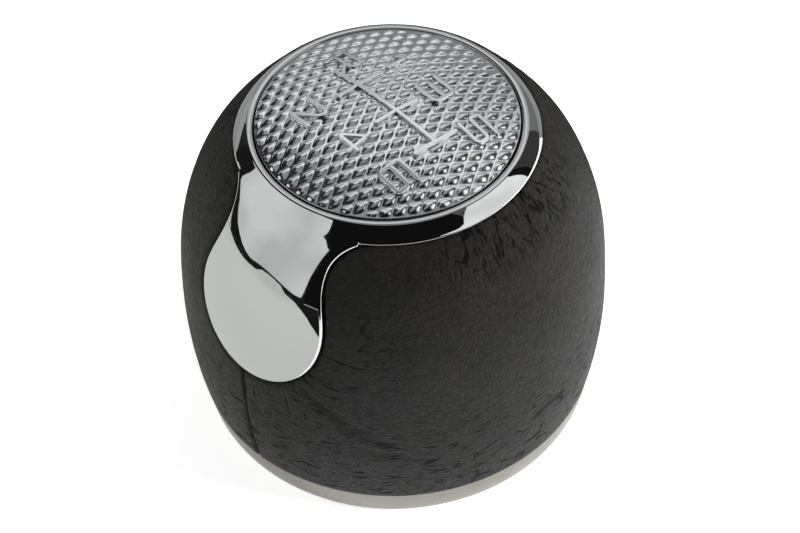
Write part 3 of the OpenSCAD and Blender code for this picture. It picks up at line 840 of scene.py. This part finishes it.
class KNOB_OT_collar(bpy.types.Operator):
    """Builds the plated collar that flows into the thumb plate"""

    bl_idname = "knob.collar"
    bl_label = "Collar and Thumb Plate"

    def execute(self, context):
        scene = context.scene
        body, plate, cap = in_mm(scene.knob_body), in_mm(scene.knob_plate), in_mm(scene.knob_cap)
        form = PlateForm(body, plate)
        curve = form.curve
        sizes = inner_sizes(body, plate, cap)
        roll = math.radians(55)
        inset = plate.edge_r * math.sin(roll)
        # Above its fillets the outline runs out level by this much, past every point near the plate
        wide = 20.0

        def column_gap(a):
            """Radians between two columns: fine across the thumb plate."""
            return np.radians(0.62 + 1.3 * smooth((np.abs(a) - math.radians(37)) / 0.3))

        def row_gap(t):
            """Millimetres between two rows: finer at the fillets."""
            return 0.26 - 0.1 * smooth((t - 36) / 6)

        away = spaced(-math.pi, math.pi, column_gap)[:-1]
        _, face_h = form.face(form.table)
        z_inset = float(np.interp(form.edge + inset * 0.7, face_h, form.table))
        lip_z = float(curve.crown_z(sizes.lip_r)) - 0.02
        below = spaced(form.low - 0.3, z_inset, row_gap)
        above = np.linspace(z_inset, lip_z, 15)
        z = np.concatenate([below, above[1:]])
        edge_row, columns = len(below) - 1, len(away)
        shape = (len(z), columns)
        away_at = np.broadcast_to(away, shape).copy()
        z_at = np.broadcast_to(z[:, None], shape).copy()
        flat = form.flat(away_at.ravel(), z_at.ravel())
        ring_gap = flat[:, 1] - float(np.interp(z_inset, form.table, face_h))
        ring_gap = np.where(np.abs(ring_gap) < 1e-3, 0, ring_gap)
        kept, near = ring_gap.copy(), flat.copy()
        close = (np.abs(away_at.ravel()) < math.radians(60)) & (ring_gap < 0)
        inner = form.outline(-inset, form.edge + inset * 0.7, wide=wide)
        plate_gap, plate_near = from_outline(flat[close], inner)
        kept[close] = np.maximum(ring_gap[close], -plate_gap)
        on_plate = -plate_gap > ring_gap[close]
        near[close] = np.where(on_plate[:, None], plate_near, near[close])
        on, faces = trimmed(kept.reshape(shape), True)
        plate_rim, ring_rim = on.ravel() & (ring_gap < 0), on.ravel() & (ring_gap >= 0)
        away_flat, z_flat = away_at.ravel(), z_at.ravel()
        away_flat[plate_rim], z_flat[plate_rim] = form.place(near[plate_rim])

        def surface(a, t, out=None):
            """Face at angle a and height t, bulged away from the thumb plate."""
            if out is None:
                share = np.clip((t - plate.collar_z) / (lip_z - plate.collar_z), 0, 1)
                fade = smooth((np.abs(a) - math.radians(30)) / math.radians(22))
                rise = (plate.lip_proud - plate.collar_proud) * share ** 2
                out = form.proud(t) + rise + plate.bulge * 4 * share * (1 - share) * fade
            r, h = curve.skin(t, out)
            return turned(r, a + form.angle, h)

        front = surface(away_flat, z_flat)
        step = 0.002
        across = surface(away_flat + step, z_flat) - surface(away_flat - step, z_flat)
        upward = surface(away_flat, z_flat + step) - surface(away_flat, z_flat - step)
        normal = np.cross(across, upward)
        normal /= np.linalg.norm(normal, axis=1)[:, None]

        # Outer line of the rolled edge, and the back face
        outer = form.outline(0.0, form.edge, wide=wide)
        rim_away, rim_z = away_flat.copy(), z_flat.copy()
        _, outer_near = from_outline(form.flat(away_flat[plate_rim], z_flat[plate_rim]), outer)
        rim_away[plate_rim], rim_z[plate_rim] = form.place(outer_near)
        rim_z[ring_rim] = plate.collar_z
        row = np.repeat(np.arange(len(z)), columns)
        rim_z[(row == edge_row) & ~plate_rim] = plate.collar_z
        edge = surface(rim_away, rim_z)
        back = surface(rim_away, rim_z, plate.collar_proud - plate.plate_t)
        levels = [front]
        flatter = 1 - 0.8 * smooth((np.abs(away_flat) - math.radians(24)) / math.radians(12))[:, None]
        for a in np.linspace(0, roll, 7)[1:]:
            sunk = plate.edge_r * (1 - math.cos(a)) * flatter
            levels.append(front + (edge - front) * math.sin(a) / math.sin(roll) - normal * sunk)
        levels.append(back)
        count = len(front)
        edges = border(faces, count)
        edges = edges[(row[edges] < len(z) - 1).any(1)]
        walls = [halved(strip(edges, k * count, (k + 1) * count)) for k in range(len(levels) - 1)]
        last = (len(levels) - 1) * count
        low_faces = faces[(row[faces] <= edge_row).all(1)]
        points = np.concatenate(levels)

        # Section from the lip over the cap's seat and the spigot to the collar's underside
        start = np.array(curve.skin(lip_z, plate.lip_proud)).ravel()
        before = np.array(curve.skin(lip_z - 0.1, plate.lip_proud)).ravel()
        heading = (start - before) / np.linalg.norm(start - before)
        end = np.array([sizes.seat_r, start[1] - 0.18])
        t = np.linspace(0, 1, 9)[1:, None]
        pull, wall = 0.9, 1.6
        crest = (
            (2 * t ** 3 - 3 * t ** 2 + 1) * start + (t ** 3 - 2 * t ** 2 + t) * heading * pull
            + (3 * t ** 2 - 2 * t ** 3) * end + (t ** 3 - t ** 2) * np.array([0, -pull])
        )
        under = np.array([
            [sizes.seat_r, sizes.ledge_z + 0.05], [sizes.seat_r, sizes.ledge_z],
            [sizes.ledge_in, sizes.ledge_z], [sizes.ledge_in, sizes.ledge_z - wall],
            [sizes.spigot_r - wall, sizes.ledge_z - wall], [sizes.spigot_r - wall, sizes.deck_z],
            [sizes.spigot_r, sizes.deck_z], [sizes.spigot_r, sizes.rim_z],
            list(curve.skin(plate.collar_z, CORE_OUT)),
        ], float)
        section = np.concatenate([crest, under])
        inner_rows = turned(section[:, :1], away + form.angle, section[:, 1:]).reshape(-1, 3)
        offset = len(points)
        top = (len(z) - 1) * columns + np.arange(columns)
        rows = [top] + [offset + k * columns + np.arange(columns) for k in range(len(section))]
        rows.append(last + edge_row * columns + np.arange(columns))
        rows = np.stack(rows)
        beside = np.roll(rows, -1, 1)
        quads = np.stack([rows[:-1], beside[:-1], beside[1:], rows[1:]], -1).reshape(-1, 4)
        points = np.concatenate([points, inner_rows])
        tris = np.concatenate([faces, low_faces[:, ::-1] + last, *walls, halved(quads)])
        normals = np.zeros_like(points)
        normals[:count] = normal
        extra = joined(*self.bosses(plate, sizes), *self.stakes(plate, curve))
        normals = np.concatenate([normals, np.zeros_like(extra[0])])
        points, tris = joined((points, tris), extra)
        look = bright_plating("bright_chrome_plating", tuple(plate.face), 0.015, 0.045)
        put("chrome_collar_polished", points, tris, look, "chrome_trim", "chrome_collar", 50, normals)
        return {"FINISHED"}

    @staticmethod
    def bosses(plate, sizes):
        """Screw bosses with pilot holes, under the ledge."""
        circle_r, boss_r, pilot_r = 13.3, 2.35, 1
        foot, top, hole = sizes.deck_z + 0.3, sizes.ledge_z - 0.3, sizes.deck_z + 4
        profile = [(0, hole), (pilot_r, hole), (pilot_r, foot), (boss_r, foot), (boss_r, top), (0, top)]
        points, faces = lathe(profile, 40)
        angles = [plate.plate_angle + k * TURN / 3 for k in range(3)]
        return [(points + [circle_r * math.cos(a), circle_r * math.sin(a), 0], faces) for a in angles]

    @staticmethod
    def stakes(plate, curve):
        """Two round stakes behind the plate, along its direction."""
        made = []
        tip_r, stake_r = 1.2, 1.5
        c, s = math.cos(plate.plate_angle), math.sin(plate.plate_angle)
        for z in (plate.bulb_z - 4.5, plate.bulb_z + 1):
            near, far = float(curve.skin(z, -6.3)[0]) - 1, float(curve.radius(z)) - 1
            profile = [(0, near), (tip_r, near), (stake_r, near + 0.3), (stake_r, far), (0, far)]
            points, faces = lathe(profile, 32)
            along, across, up = points[:, 2], points[:, 0], points[:, 1]
            made.append((np.stack([along * c - across * s, along * s + across * c, up + z], -1), faces))
        return made


def inner_sizes(body, plate, cap):
    """Sizes that follow from others: the cap's seat, the ledge, the spigot and the core's rim."""
    curve = BodyCurve(body)
    cap_r = cap.cap_d / 2
    seat_r = cap_r + 0.2
    lip_r = seat_r + plate.lip_w
    edge_z = float(curve.crown_z(lip_r)) + plate.lip_proud
    rim_r, rim_z = (float(v) for v in curve.skin(plate.collar_z, CORE_OUT))
    return SimpleNamespace(
        cap_r=cap_r, seat_r=seat_r, lip_r=lip_r, edge_z=edge_z, foot_z=edge_z - 1.6, ledge_z=edge_z - 2.1,
        ledge_in=seat_r - 3.6, rim_z=rim_z, spigot_r=rim_r - 1.1, deck_z=rim_z - 2.75,
    )


# Hobnail cap

DIGITS = {
    "1": [[(-0.15, 0.25), (0.1, 0.5), (0.1, -0.5)]],
    "2": [[(-0.5, 0.5), (0.5, 0.5), (0.5, 0.15), (-0.5, -0.5), (0.5, -0.5)]],
    "3": [[(-0.5, 0.5), (0.5, 0.5), (0.5, -0.5), (-0.5, -0.5)], [(-0.25, 0), (0.5, 0)]],
    "4": [[(0.5, -0.2), (-0.5, -0.2), (0.3, 0.5), (0.3, -0.5)]],
    "5": [[(0.5, 0.5), (-0.5, 0.5), (-0.5, 0.05), (0.5, 0.05), (0.5, -0.5), (-0.5, -0.5)]],
    "6": [[(0.5, 0.5), (-0.5, 0.5), (-0.5, -0.5), (0.5, -0.5), (0.5, 0.05), (-0.5, 0.05)]],
    "R": [[(-0.5, -0.5), (-0.5, 0.5), (0.5, 0.5), (0.5, 0), (-0.5, 0)], [(0.1, 0), (0.5, -0.5)]],
}
# Middle of each digit, in mm to the right of the axis and ahead of it
DIGIT_PLACES = {
    "R": (-10.1, 1.7), "1": (-5.5, 6.3), "3": (1.8, 6.4), "5": (9.9, 6.1),
    "2": (-6.3, -7.3), "4": (1.2, -6.85), "6": (9.2, -6.45),
}


def eased(line, reach):
    """The points of a line with each inner corner replaced by a quadratic curve that starts reach from it."""
    points = [line[0]]
    for before, corner, after in zip(line[:-2], line[1:-1], line[2:]):
        legs = [before - corner, after - corner]
        sizes = [np.linalg.norm(leg) for leg in legs]
        start, end = (corner + leg / size * min(reach, size / 2) for leg, size in zip(legs, sizes))
        for t in (0, 0.25, 0.5, 0.75, 1):
            points.append(start * (1 - t) ** 2 + 2 * corner * t * (1 - t) + end * t ** 2)
    points = np.array(points + [line[-1]])
    return points[np.append(True, np.linalg.norm(np.diff(points, axis=0), axis=1) > 1e-6)]


def gate_strokes(cap):
    """Start, end and width of the three gates, which lean a little, and of the crossbar."""
    columns = [cap.gate_x + i * cap.gate_pitch for i in (-1, 0, 1)]
    across, along = math.tan(cap.bar_tilt), math.tan(cap.gate_lean) * cap.gate_len / 2
    half = cap.gate_len / 2

    def level(x):
        """Height of the crossbar's middle line at x."""
        return cap.gate_y + across * (x - cap.gate_x)

    strokes = [(x - along, level(x) - half, x + along, level(x) + half, cap.gate_w) for x in columns]
    start = DIGIT_PLACES["R"][0] + 0.9
    strokes.append((start, level(start), columns[2], level(columns[2]), cap.gate_w))
    return strokes


def pattern_strokes(cap):
    """Start, end and width of each stroke of the gates, the crossbar and the digits."""
    strokes = gate_strokes(cap)
    size = np.array([cap.digit_w - cap.digit_stroke, cap.digit_h - cap.digit_stroke])
    for name, place in DIGIT_PLACES.items():
        for line in DIGITS[name]:
            spots = eased(np.array(line) * size + place, cap.digit_round)
            strokes += [(*a, *b, cap.digit_stroke) for a, b in zip(spots[:-1], spots[1:])]
    return np.array(strokes)


def from_strokes(xy, strokes):
    """Distance of points to the strokes' border, below 0 inside, and the way out of the stroke."""
    a, b, half = strokes[:, :2], strokes[:, 2:4], strokes[:, 4] / 2
    along = b - a
    t = np.clip(((xy[:, None] - a) * along).sum(-1) / (along ** 2).sum(-1), 0, 1)
    away = xy[:, None] - (a + t[..., None] * along)
    gap = np.linalg.norm(away, axis=-1)
    best = (gap - half).argmin(1)
    pick = np.arange(len(xy))
    out = away[pick, best] / np.maximum(gap[pick, best], 1e-9)[:, None]
    return gap[pick, best] - half[best], out


class KNOB_OT_cap(bpy.types.Operator):
    """Builds the domed hobnail cap with its raised shift pattern"""

    bl_idname = "knob.cap"
    bl_label = "Hobnail Cap"

    def execute(self, context):
        scene = context.scene
        body, plate, cap = in_mm(scene.knob_body), in_mm(scene.knob_plate), in_mm(scene.knob_cap)
        sizes = inner_sizes(body, plate, cap)
        dome_r = (sizes.cap_r ** 2 + cap.dome_h ** 2) / (2 * cap.dome_h)
        top_z = sizes.edge_z + cap.dome_h

        def dome(r, sunk=0.0):
            """Height of the sphere through the cap's edge, or of one sunk below it, at radius r."""
            return top_z - dome_r + np.sqrt((dome_r - sunk) ** 2 - r ** 2)

        look = bright_plating("chrome_plating_on_cap", tuple(cap.face), 0.12, 0.2)
        parts = joined(self.studded(cap, sizes, dome), self.pattern(cap, dome))
        put("pattern_cap_hobnail", *parts, look, "chrome_cap", "pattern_cap", 75)
        return {"FINISHED"}

    @staticmethod
    def studded(cap, sizes, dome):
        """Dome with four-sided studs on a lattice of rhombi, a side wall and a hollow underside."""
        pitch = cap.stud_pitch
        share = 1 - cap.stud_land / (pitch * math.sqrt(3) / 2)
        steps = np.array([0, 0.2, 0.46, 0.74, 1]) * share / 2
        cell = np.concatenate([[-0.5], -steps[:0:-1], steps])
        reach = math.ceil(sizes.cap_r * 1.16 / pitch)
        nodes = (np.arange(-reach, reach + 1)[:, None] + cell).ravel()
        a, b = np.meshgrid(nodes, nodes)
        x, y = (a + b) * pitch / 2, (a - b) * pitch * math.sqrt(3) / 2
        round_r, bevel = 0.08, 0.15
        edge_r = sizes.cap_r - round_r
        r = np.hypot(x, y)
        on, faces = trimmed(edge_r - r, False)
        faces = faces[:, ::-1]
        scale = np.where(on, edge_r / np.maximum(r, 1e-9), 1)
        x, y = (x * scale).ravel(), (y * scale).ravel()
        r = np.hypot(x, y)
        u, v = x / pitch + y / (pitch * math.sqrt(3)), x / pitch - y / (pitch * math.sqrt(3))
        u, v = (2 * np.abs(w - np.round(w)) / share for w in (u, v))
        power = 4
        stud = np.clip(1 - (u ** power + v ** power) ** (1 / power), 0, 1)
        stud = 0.4 * smooth(stud / 0.34) + 0.6 * stud ** 1.15
        from_gate, _ = from_strokes(np.stack([x, y], -1), np.array(gate_strokes(cap)))
        field = smooth((sizes.cap_r - cap.cap_rim - r) / 0.25) * smooth(from_gate / 0.45)
        front = np.stack([x, y, dome(np.minimum(r, sizes.cap_r)) + cap.stud_h * stud * field], -1)
        bore = sizes.cap_r - 3.2
        angle = np.arctan2(y, x)
        levels = [front]
        edge_top = float(dome(edge_r))
        for k in (1, 2, 3):
            t = math.radians(30 * k)
            edge_z = edge_top - round_r * (1 - math.cos(t))
            levels.append(turned(edge_r + round_r * math.sin(t), angle, edge_z))
        levels += [
            turned(sizes.cap_r, angle, sizes.foot_z + bevel),
            turned(sizes.cap_r - bevel, angle, sizes.foot_z),
            turned(bore, angle, sizes.foot_z),
        ]
        inner = r * bore / edge_r
        levels.append(turned(inner, angle, dome(inner, cap.cap_t)))
        return shell(levels, faces)

    @staticmethod
    def pattern(cap, dome):
        """Raised strokes: a fine grid cut to their outline, with rounded edges and drafted sides."""
        strokes = pattern_strokes(cap)
        gap, inset, margin = 0.11, 0.12, 0.6
        ends = strokes[:, :4].reshape(-1, 2)
        low, high = ends.min(0) - margin, ends.max(0) + margin
        x, y = np.meshgrid(np.arange(low[0], high[0], gap), np.arange(low[1], high[1], gap))
        xy = np.stack([x.ravel(), y.ravel()], -1)
        away, out = from_strokes(xy, strokes)
        on, faces = trimmed(-(away + inset).reshape(x.shape), False)
        on = on.ravel()
        xy[on] -= out[on] * (away[on] + inset)[:, None]
        r = np.linalg.norm(xy, axis=1)
        levels = [np.column_stack([xy, dome(r) + cap.pattern_h])]
        _, out = from_strokes(xy, strokes)
        for k in (1, 2, 3):
            t = math.radians(25 * k)
            spot = xy + out * inset * math.sin(t) * 0.9
            levels.append(np.column_stack([spot, dome(r) + cap.pattern_h - inset * (1 - math.cos(t))]))
        foot = xy + out * (inset + 0.05)
        levels.append(np.column_stack([foot, dome(r) - 0.1]))
        levels.append(np.column_stack([xy, dome(r) - 0.3]))
        return shell(levels, faces)


# Base ring

class KNOB_OT_base_ring(bpy.types.Operator):
    """Builds the satin base ring with its rounded foot and inner flange"""

    bl_idname = "knob.base_ring"
    bl_label = "Base Ring"

    def execute(self, context):
        scene = context.scene
        body, ring = in_mm(scene.knob_body), in_mm(scene.knob_ring)
        curve = BodyCurve(body)
        foot_r = ring.foot_d / 2
        top_r = float(curve.skin(body.ring_h, 0)[0]) - ring.ring_step
        round_r = 0.12
        round_x, round_z = top_r - round_r, body.ring_h - round_r
        a = np.radians(np.linspace(0, 90, 28))
        outer = np.stack([foot_r + (top_r - foot_r) * np.sin(a), body.ring_h * (1 - np.cos(a))], -1)
        outer = outer[outer[:, 1] < round_z]
        b = np.radians(np.linspace(0, 90, 6))
        crest = np.stack([round_x + round_r * np.cos(b), round_z + round_r * np.sin(b)], -1)
        flange_r, flange_z, wall_r = top_r - 5.2, body.ring_h - 2, foot_r - ring.ring_t
        inner = [(flange_r, body.ring_h), (flange_r, flange_z), (wall_r, flange_z), (wall_r, 0)]
        points, faces = lathe(np.concatenate([outer, crest, inner]), 288)
        put("base_ring_satin", points, faces, satin_paint(tuple(ring.face)), "satin_trim", "base_ring", 40)
        return {"FINISHED"}


# Inner parts

class KNOB_OT_inner_parts(bpy.types.Operator):
    """Gives the parts inside the knob their moulded, foamed and drawn finishes"""

    bl_idname = "knob.inner_parts"
    bl_label = "Inner Parts"

    def execute(self, context):
        looks = {
            "foam_padding": moulded_foam(),
            "core_body": moulded("glass_filled_nylon", "#34363a", "#44474c", 0.35, 0.015, 0.55),
            "cap_tape": moulded("acrylic_foam_tape", "#161617", "#232324", 0.25, 0.03, 0.75),
            "base_plate": moulded("moulded_abs", "#1a1b1c", "#252628", 0.3, 0.012, 0.5),
            "lever_bush": moulded("moulded_acetal", "#222326", "#303236", 0.4, 0.01, 0.42),
            "bush_damper": moulded("moulded_rubber", "#101010", "#1b1b1b", 0.3, 0.02, 0.7),
            "clamp_ring": drawn_steel("stainless_strip", "#9a9c9f", "#c4c6c9"),
            "collar_screws": drawn_steel("zinc_plated_steel", "#8b8d8f", "#b6b8ba"),
        }
        looks["base_screws"] = looks["collar_screws"]
        for name, look in looks.items():
            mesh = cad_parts[name].data
            mesh.materials.clear()
            mesh.materials.append(look)
        return {"FINISHED"}


# Studio

# Cards on a sphere round the knob that only reflections show. Each has its azimuths, its lowest and
# highest elevation at each of them in degrees, its level, the sphere's radius in metres and how much
# its level varies. The dark ones stand behind the bright ones.
SKY_CARDS = {
    "card_above": ((-180, 180), (68, 68), (90, 90), 0.32, 1.3),
    "card_front": ((-86, 60), (-1, -1), (68, 68), 0.008, 1.3),
    "card_right_edge": ((60, 66), (-5, -5), (68, 68), 0.01, 1.3),
    "card_far_right": ((66, 88), (-5, -5), (68, 68), 0.06, 1.3),
    "card_back": ((88, 172), (-2, -2), (22, 22), 0.24, 1.3),
    "card_back_high": ((88, 172), (22, 22), (44, 44), 0.6, 1.3),
    "card_left_back": ((-165, -86), (-2, -2), (68, 68), 0.015, 1.3),
    "card_left_far": ((-188, -165), (-2, -2), (68, 68), 0.03, 1.3),
    "box_left": (
        (-156, -152, -148, -144, -140, -136, -132, -128, -124, -120, -116, -112,
         -108, -104, -100, -96, -92, -88, -87, -86.5, -86, -85, -84, -82),
        (17, 14, 13, 11.5, 8, 5, 3.2, 1.6, 0.7, 0.6, 1.8, 2.7,
         3, 2.8, 2.3, 1.5, 0.9, 1.2, 5, 10, 15, 20, 27, 35),
        (17.5, 24, 29, 34, 38, 40, 42, 43, 44, 45, 45, 45,
         45, 45, 44.6, 43.2, 41.8, 40.5, 40, 39.6, 39, 38, 36.5, 35.5),
        0.9, 1.25, 0.14,
    ),
    "box_left_edge": (
        (-160, -150, -148, -144, -140, -138), (-1.3,) * 6, (8, 9, 8.5, 6, 0.5, -1.2), 0.7, 1.25,
    ),
    "card_left_mid": ((170, 176, 182, 188, 195), (-1.3,) * 5, (20, 14, 9, 6, 3), 0.5, 1.25),
    "box_left_low": (
        (-115, -112, -108, -104, -100, -97), (-1.3,) * 6, (-1.2, 1, 1.8, 1.8, 1.2, -1.2), 0.8, 1.25,
    ),
    "box_right": (
        (-10, 0, 9, 12, 15, 18, 22, 26, 32, 40, 50, 60), (15, 10, 6, 4, 4, 3, 2, 2, 2, 0, 0, -1),
        (17, 22, 29, 36, 42, 45, 49, 51, 53, 53, 50, 42), 1.25, 1.25, 0.1,
    ),
    "card_right_above": ((16, 20, 60, 66), (40, 50, 46, 36), (56, 68, 68, 68), 0.13, 1.28),
}
# Cards on the floor. Each has its azimuths in degrees, its nearest and furthest distance from the
# lever's axis at each of them in metres, its level or colour, its height in metres and its variation.
FLOOR_END = 1.25
SHADE_AZIMUTHS, SHADE_ENDS = (85, 150, 170, 185, 195), (0.17, 0.17, 0.13, 0.09, 0.07)
FLOOR_CARDS = {
    # The first card is painted shade: dark, just behind the knob, shown in reflections in place of the lit
    # floor
    "card_floor_painted_shade": (SHADE_AZIMUTHS, (0.034,) * 5, SHADE_ENDS, 0.03, 0.0006),
    "card_floor_far": (SHADE_AZIMUTHS, SHADE_ENDS, (FLOOR_END,) * 5, 0.42, 0.0006),
    "card_floor_left": ((-165, -70), (0.03,) * 2, (FLOOR_END,) * 2, (0.86, 0.88, 0.84), 0.0006, 0.08),
    "card_floor_shade": (
        (-142, -139, -136, -132, -128, -124, -120, -117, -115),
        (1.2, 1.1, 0.9, 0.7, 0.65, 0.65, 0.75, 1.0, 1.2), (FLOOR_END,) * 9, 0.015, 0.0012,
    ),
    "card_floor_right": (
        (-97, -94, -91, -88, -84, -80, -76, -70),
        (1.2, 0.9, 0.7, 0.45, 0.3, 0.2, 0.15, 0.1), (FLOOR_END,) * 8, 0.015, 0.0012,
    ),
}
# Square lamps: place and side in metres, and power in watts
LAMPS = {
    "lamp_left": ((-0.55, -0.55, 0.3), 0.4, 4.4),
    "lamp_right": ((0.72, 0.55, 0.38), 0.4, 20.0),
    "lamp_top": ((-0.2, 0.3, 0.9), 0.5, 1.0),
}


def glow(name, level, vary):
    """An emission material of that level or colour, which varies softly from place to place."""
    made = bpy.data.materials.new(name)
    tree = emptied(made)
    where = add(tree, "TexCoord").outputs["Object"]
    cloud = add(tree, "TexNoise", {"Vector": where, "Scale": 1.6, "Detail": 1.0}).outputs[0]
    strength = add(tree, "MapRange", (cloud, 0.35, 0.65, 1 - vary, 1 + vary)).outputs[0]
    tint = level if isinstance(level, tuple) else (level,) * 3
    light = add(tree, "Emission", {"Color": rgba(tint), "Strength": strength})
    add(tree, "OutputMaterial", (light.outputs[0],))
    return made


def background_share(tree):
    """1 where a camera, glossy or transmission ray meets the background, and 0 for the light on the knob."""
    path = add(tree, "LightPath")
    seen = path.outputs["Is Camera Ray"]
    for kind in ("Is Glossy Ray", "Is Transmission Ray"):
        seen = add(tree, "Math", (seen, path.outputs[kind]), operation="MAXIMUM").outputs[0]
    return seen


def reflected(name, points, rows, columns, level, vary):
    """A card of rows by columns points: a stage object that only reflections show."""
    mesh = bpy.data.meshes.new(name)
    mesh.from_pydata(points.reshape(-1, 3), [], grid_quads(rows, columns, False)[:, ::-1])
    mesh.materials.append(glow(name, level, vary))
    card = placed(name, mesh)
    card.visible_camera = card.visible_diffuse = card.visible_shadow = False
    card.visible_transmission = card.visible_volume_scatter = False


def sky_card(name, azimuths, lows, highs, level, radius, vary=0.0):
    """A patch of a sphere round the knob, from lows to highs at its azimuths and evenly between them."""
    rows, columns, middle_z = 13, 97, 0.03
    a = np.linspace(azimuths[0], azimuths[-1], columns)
    low, high = np.interp(a, azimuths, lows), np.interp(a, azimuths, highs)
    e = np.radians(low + (high - low) * np.linspace(0, 1, rows)[:, None])
    points = turned(radius * np.cos(e), np.radians(a), radius * np.sin(e)) + [0, 0, middle_z]
    reflected(name, points, rows, columns, level, vary)


def floor_card(name, azimuths, nears, fars, level, z, vary=0.0):
    """A patch of the floor at height z, from nears to fars at its azimuths and evenly between them."""
    columns = 97
    a = np.linspace(azimuths[0], azimuths[-1], columns)
    ends = np.stack([np.interp(a, azimuths, nears), np.interp(a, azimuths, fars)])
    reflected(name, turned(ends, np.radians(a), z), 2, columns, level, vary)


def area_lamp(name, place, side, power):
    """A square area lamp at place that points at the knob and doesn't show in reflections."""
    data = bpy.data.lights.new(name, "AREA")
    data.shape, data.size, data.energy = "SQUARE", side, power
    lamp = placed(name, data)
    back = np.array(place) / np.linalg.norm(place)
    right = np.cross([0, 0, 1], back)
    right /= np.linalg.norm(right)
    matrix = np.eye(4)
    matrix[:3, :3] = np.column_stack([right, np.cross(back, right), back])
    matrix[:3, 3] = place
    lamp.matrix_world = Matrix(matrix)
    lamp.visible_glossy = False


class KNOB_OT_studio(bpy.types.Operator):
    """Sets up the pale floor, the lamps, the dark and bright cards and the camera"""

    bl_idname = "knob.studio"
    bl_label = "Studio"

    def execute(self, context):
        scene = context.scene
        studio = scene.knob_studio
        scene.view_settings.view_transform = "Standard"
        self.world(scene, studio.fill)
        self.floor(tuple(studio.floor))
        for name, values in SKY_CARDS.items():
            sky_card(name, *values)
        for name, values in FLOOR_CARDS.items():
            floor_card(name, *values)
        for name, values in LAMPS.items():
            area_lamp(name, *values)
        self.camera(scene)
        return {"FINISHED"}

    @staticmethod
    def world(scene, fill):
        """White behind everything and in reflections, and an even fill on matt surfaces."""
        scene.world = bpy.data.worlds.new("studio")
        tree = emptied(scene.world)
        level = add(tree, "MapRange", (background_share(tree), 0.0, 1.0, fill, 1.0)).outputs[0]
        light = add(tree, "Background", {"Color": rgba((1.0, 1.0, 1.0)), "Strength": level})
        add(tree, "OutputWorld", (light.outputs[0],))

    @staticmethod
    def floor(face):
        """A plain white floor that keeps the knob's shadow, lifted to white where it is the background."""
        half, lift = 4.0, 0.62
        mesh = bpy.data.meshes.new("floor")
        corners = [(-half, -half, 0), (half, -half, 0), (half, half, 0), (-half, half, 0)]
        mesh.from_pydata(corners, [], [(0, 1, 2, 3)])
        made = bpy.data.materials.new("seamless_paper")
        tree = emptied(made)
        level = add(tree, "MapRange", (background_share(tree), 0.0, 1.0, 0.0, lift)).outputs[0]
        paper = add(tree, "BsdfDiffuse", {"Color": rgba(face)})
        light = add(tree, "Emission", {"Color": rgba((1.0, 1.0, 1.0)), "Strength": level})
        both = add(tree, "AddShader", (paper.outputs[0], light.outputs[0]))
        add(tree, "OutputMaterial", (both.outputs[0],))
        mesh.materials.append(made)
        placed("floor", mesh)

    @staticmethod
    def camera(scene):
        """Camera at the photograph's place: turned round the knob, tilted down and rolled a little."""
        azimuth, elevation, roll = (math.radians(v) for v in (49.74, 47.46, 2.48))
        distance, aim_z = 0.400, 0.02036
        level = math.cos(elevation)
        back = np.array([math.sin(azimuth) * level, -math.cos(azimuth) * level, math.sin(elevation)])
        right = np.array([math.cos(azimuth), math.sin(azimuth), 0.0])
        up = np.cross(back, right)
        data = bpy.data.cameras.new("camera")
        data.lens, data.sensor_width = 138.72, 36.0
        data.shift_x, data.shift_y = 0.008075, -0.00365
        data.clip_start, data.clip_end = 0.01, 50.0
        camera = placed("camera", data)
        matrix = np.eye(4)
        matrix[:3, 0] = math.cos(roll) * right - math.sin(roll) * up
        matrix[:3, 1] = math.sin(roll) * right + math.cos(roll) * up
        matrix[:3, 2] = back
        matrix[:3, 3] = np.array([0, 0, aim_z]) + back * distance
        camera.matrix_world = Matrix(matrix)
        scene.camera = camera


class KNOB_PT_panel(bpy.types.Panel):
    """Lists the knob's pieces in the sidebar"""

    bl_idname = "KNOB_PT_panel"
    bl_label = "Shift Knob"
    bl_space_type = "VIEW_3D"
    bl_region_type = "UI"
    bl_category = "Shift Knob"

    def draw(self, context):
        for name in GROUPS:
            box = self.layout.box()
            group = getattr(context.scene, name)
            for item in group.bl_rna.properties:
                if item.identifier not in ("rna_type", "name"):
                    box.prop(group, item.identifier)
        for operator in OPERATORS:
            self.layout.operator(operator.bl_idname)


GROUPS = {
    "knob_body": KNOB_PG_body,
    "knob_leather": KNOB_PG_leather,
    "knob_plate": KNOB_PG_plate,
    "knob_cap": KNOB_PG_cap,
    "knob_ring": KNOB_PG_ring,
    "knob_studio": KNOB_PG_studio,
}
OPERATORS = [
    KNOB_OT_leather_cover, KNOB_OT_collar, KNOB_OT_cap,
    KNOB_OT_base_ring, KNOB_OT_inner_parts, KNOB_OT_studio,
]


def register():
    """Registers the classes and hangs the property groups on the scene."""
    for item in [*GROUPS.values(), *OPERATORS, KNOB_PT_panel]:
        bpy.utils.register_class(item)
    for name, group in GROUPS.items():
        setattr(bpy.types.Scene, name, bpy.props.PointerProperty(type=group))


def unregister():
    """Takes the property groups off the scene and unregisters the classes."""
    for name in GROUPS:
        delattr(bpy.types.Scene, name)
    for item in reversed([*GROUPS.values(), *OPERATORS, KNOB_PT_panel]):
        bpy.utils.unregister_class(item)


def main():
    """Builds every piece and the studio."""
    register()
    bpy.ops.knob.leather_cover()
    bpy.ops.knob.collar()
    bpy.ops.knob.cap()
    bpy.ops.knob.base_ring()
    bpy.ops.knob.inner_parts()
    bpy.ops.knob.studio()


if __name__ == "__main__":
    main()
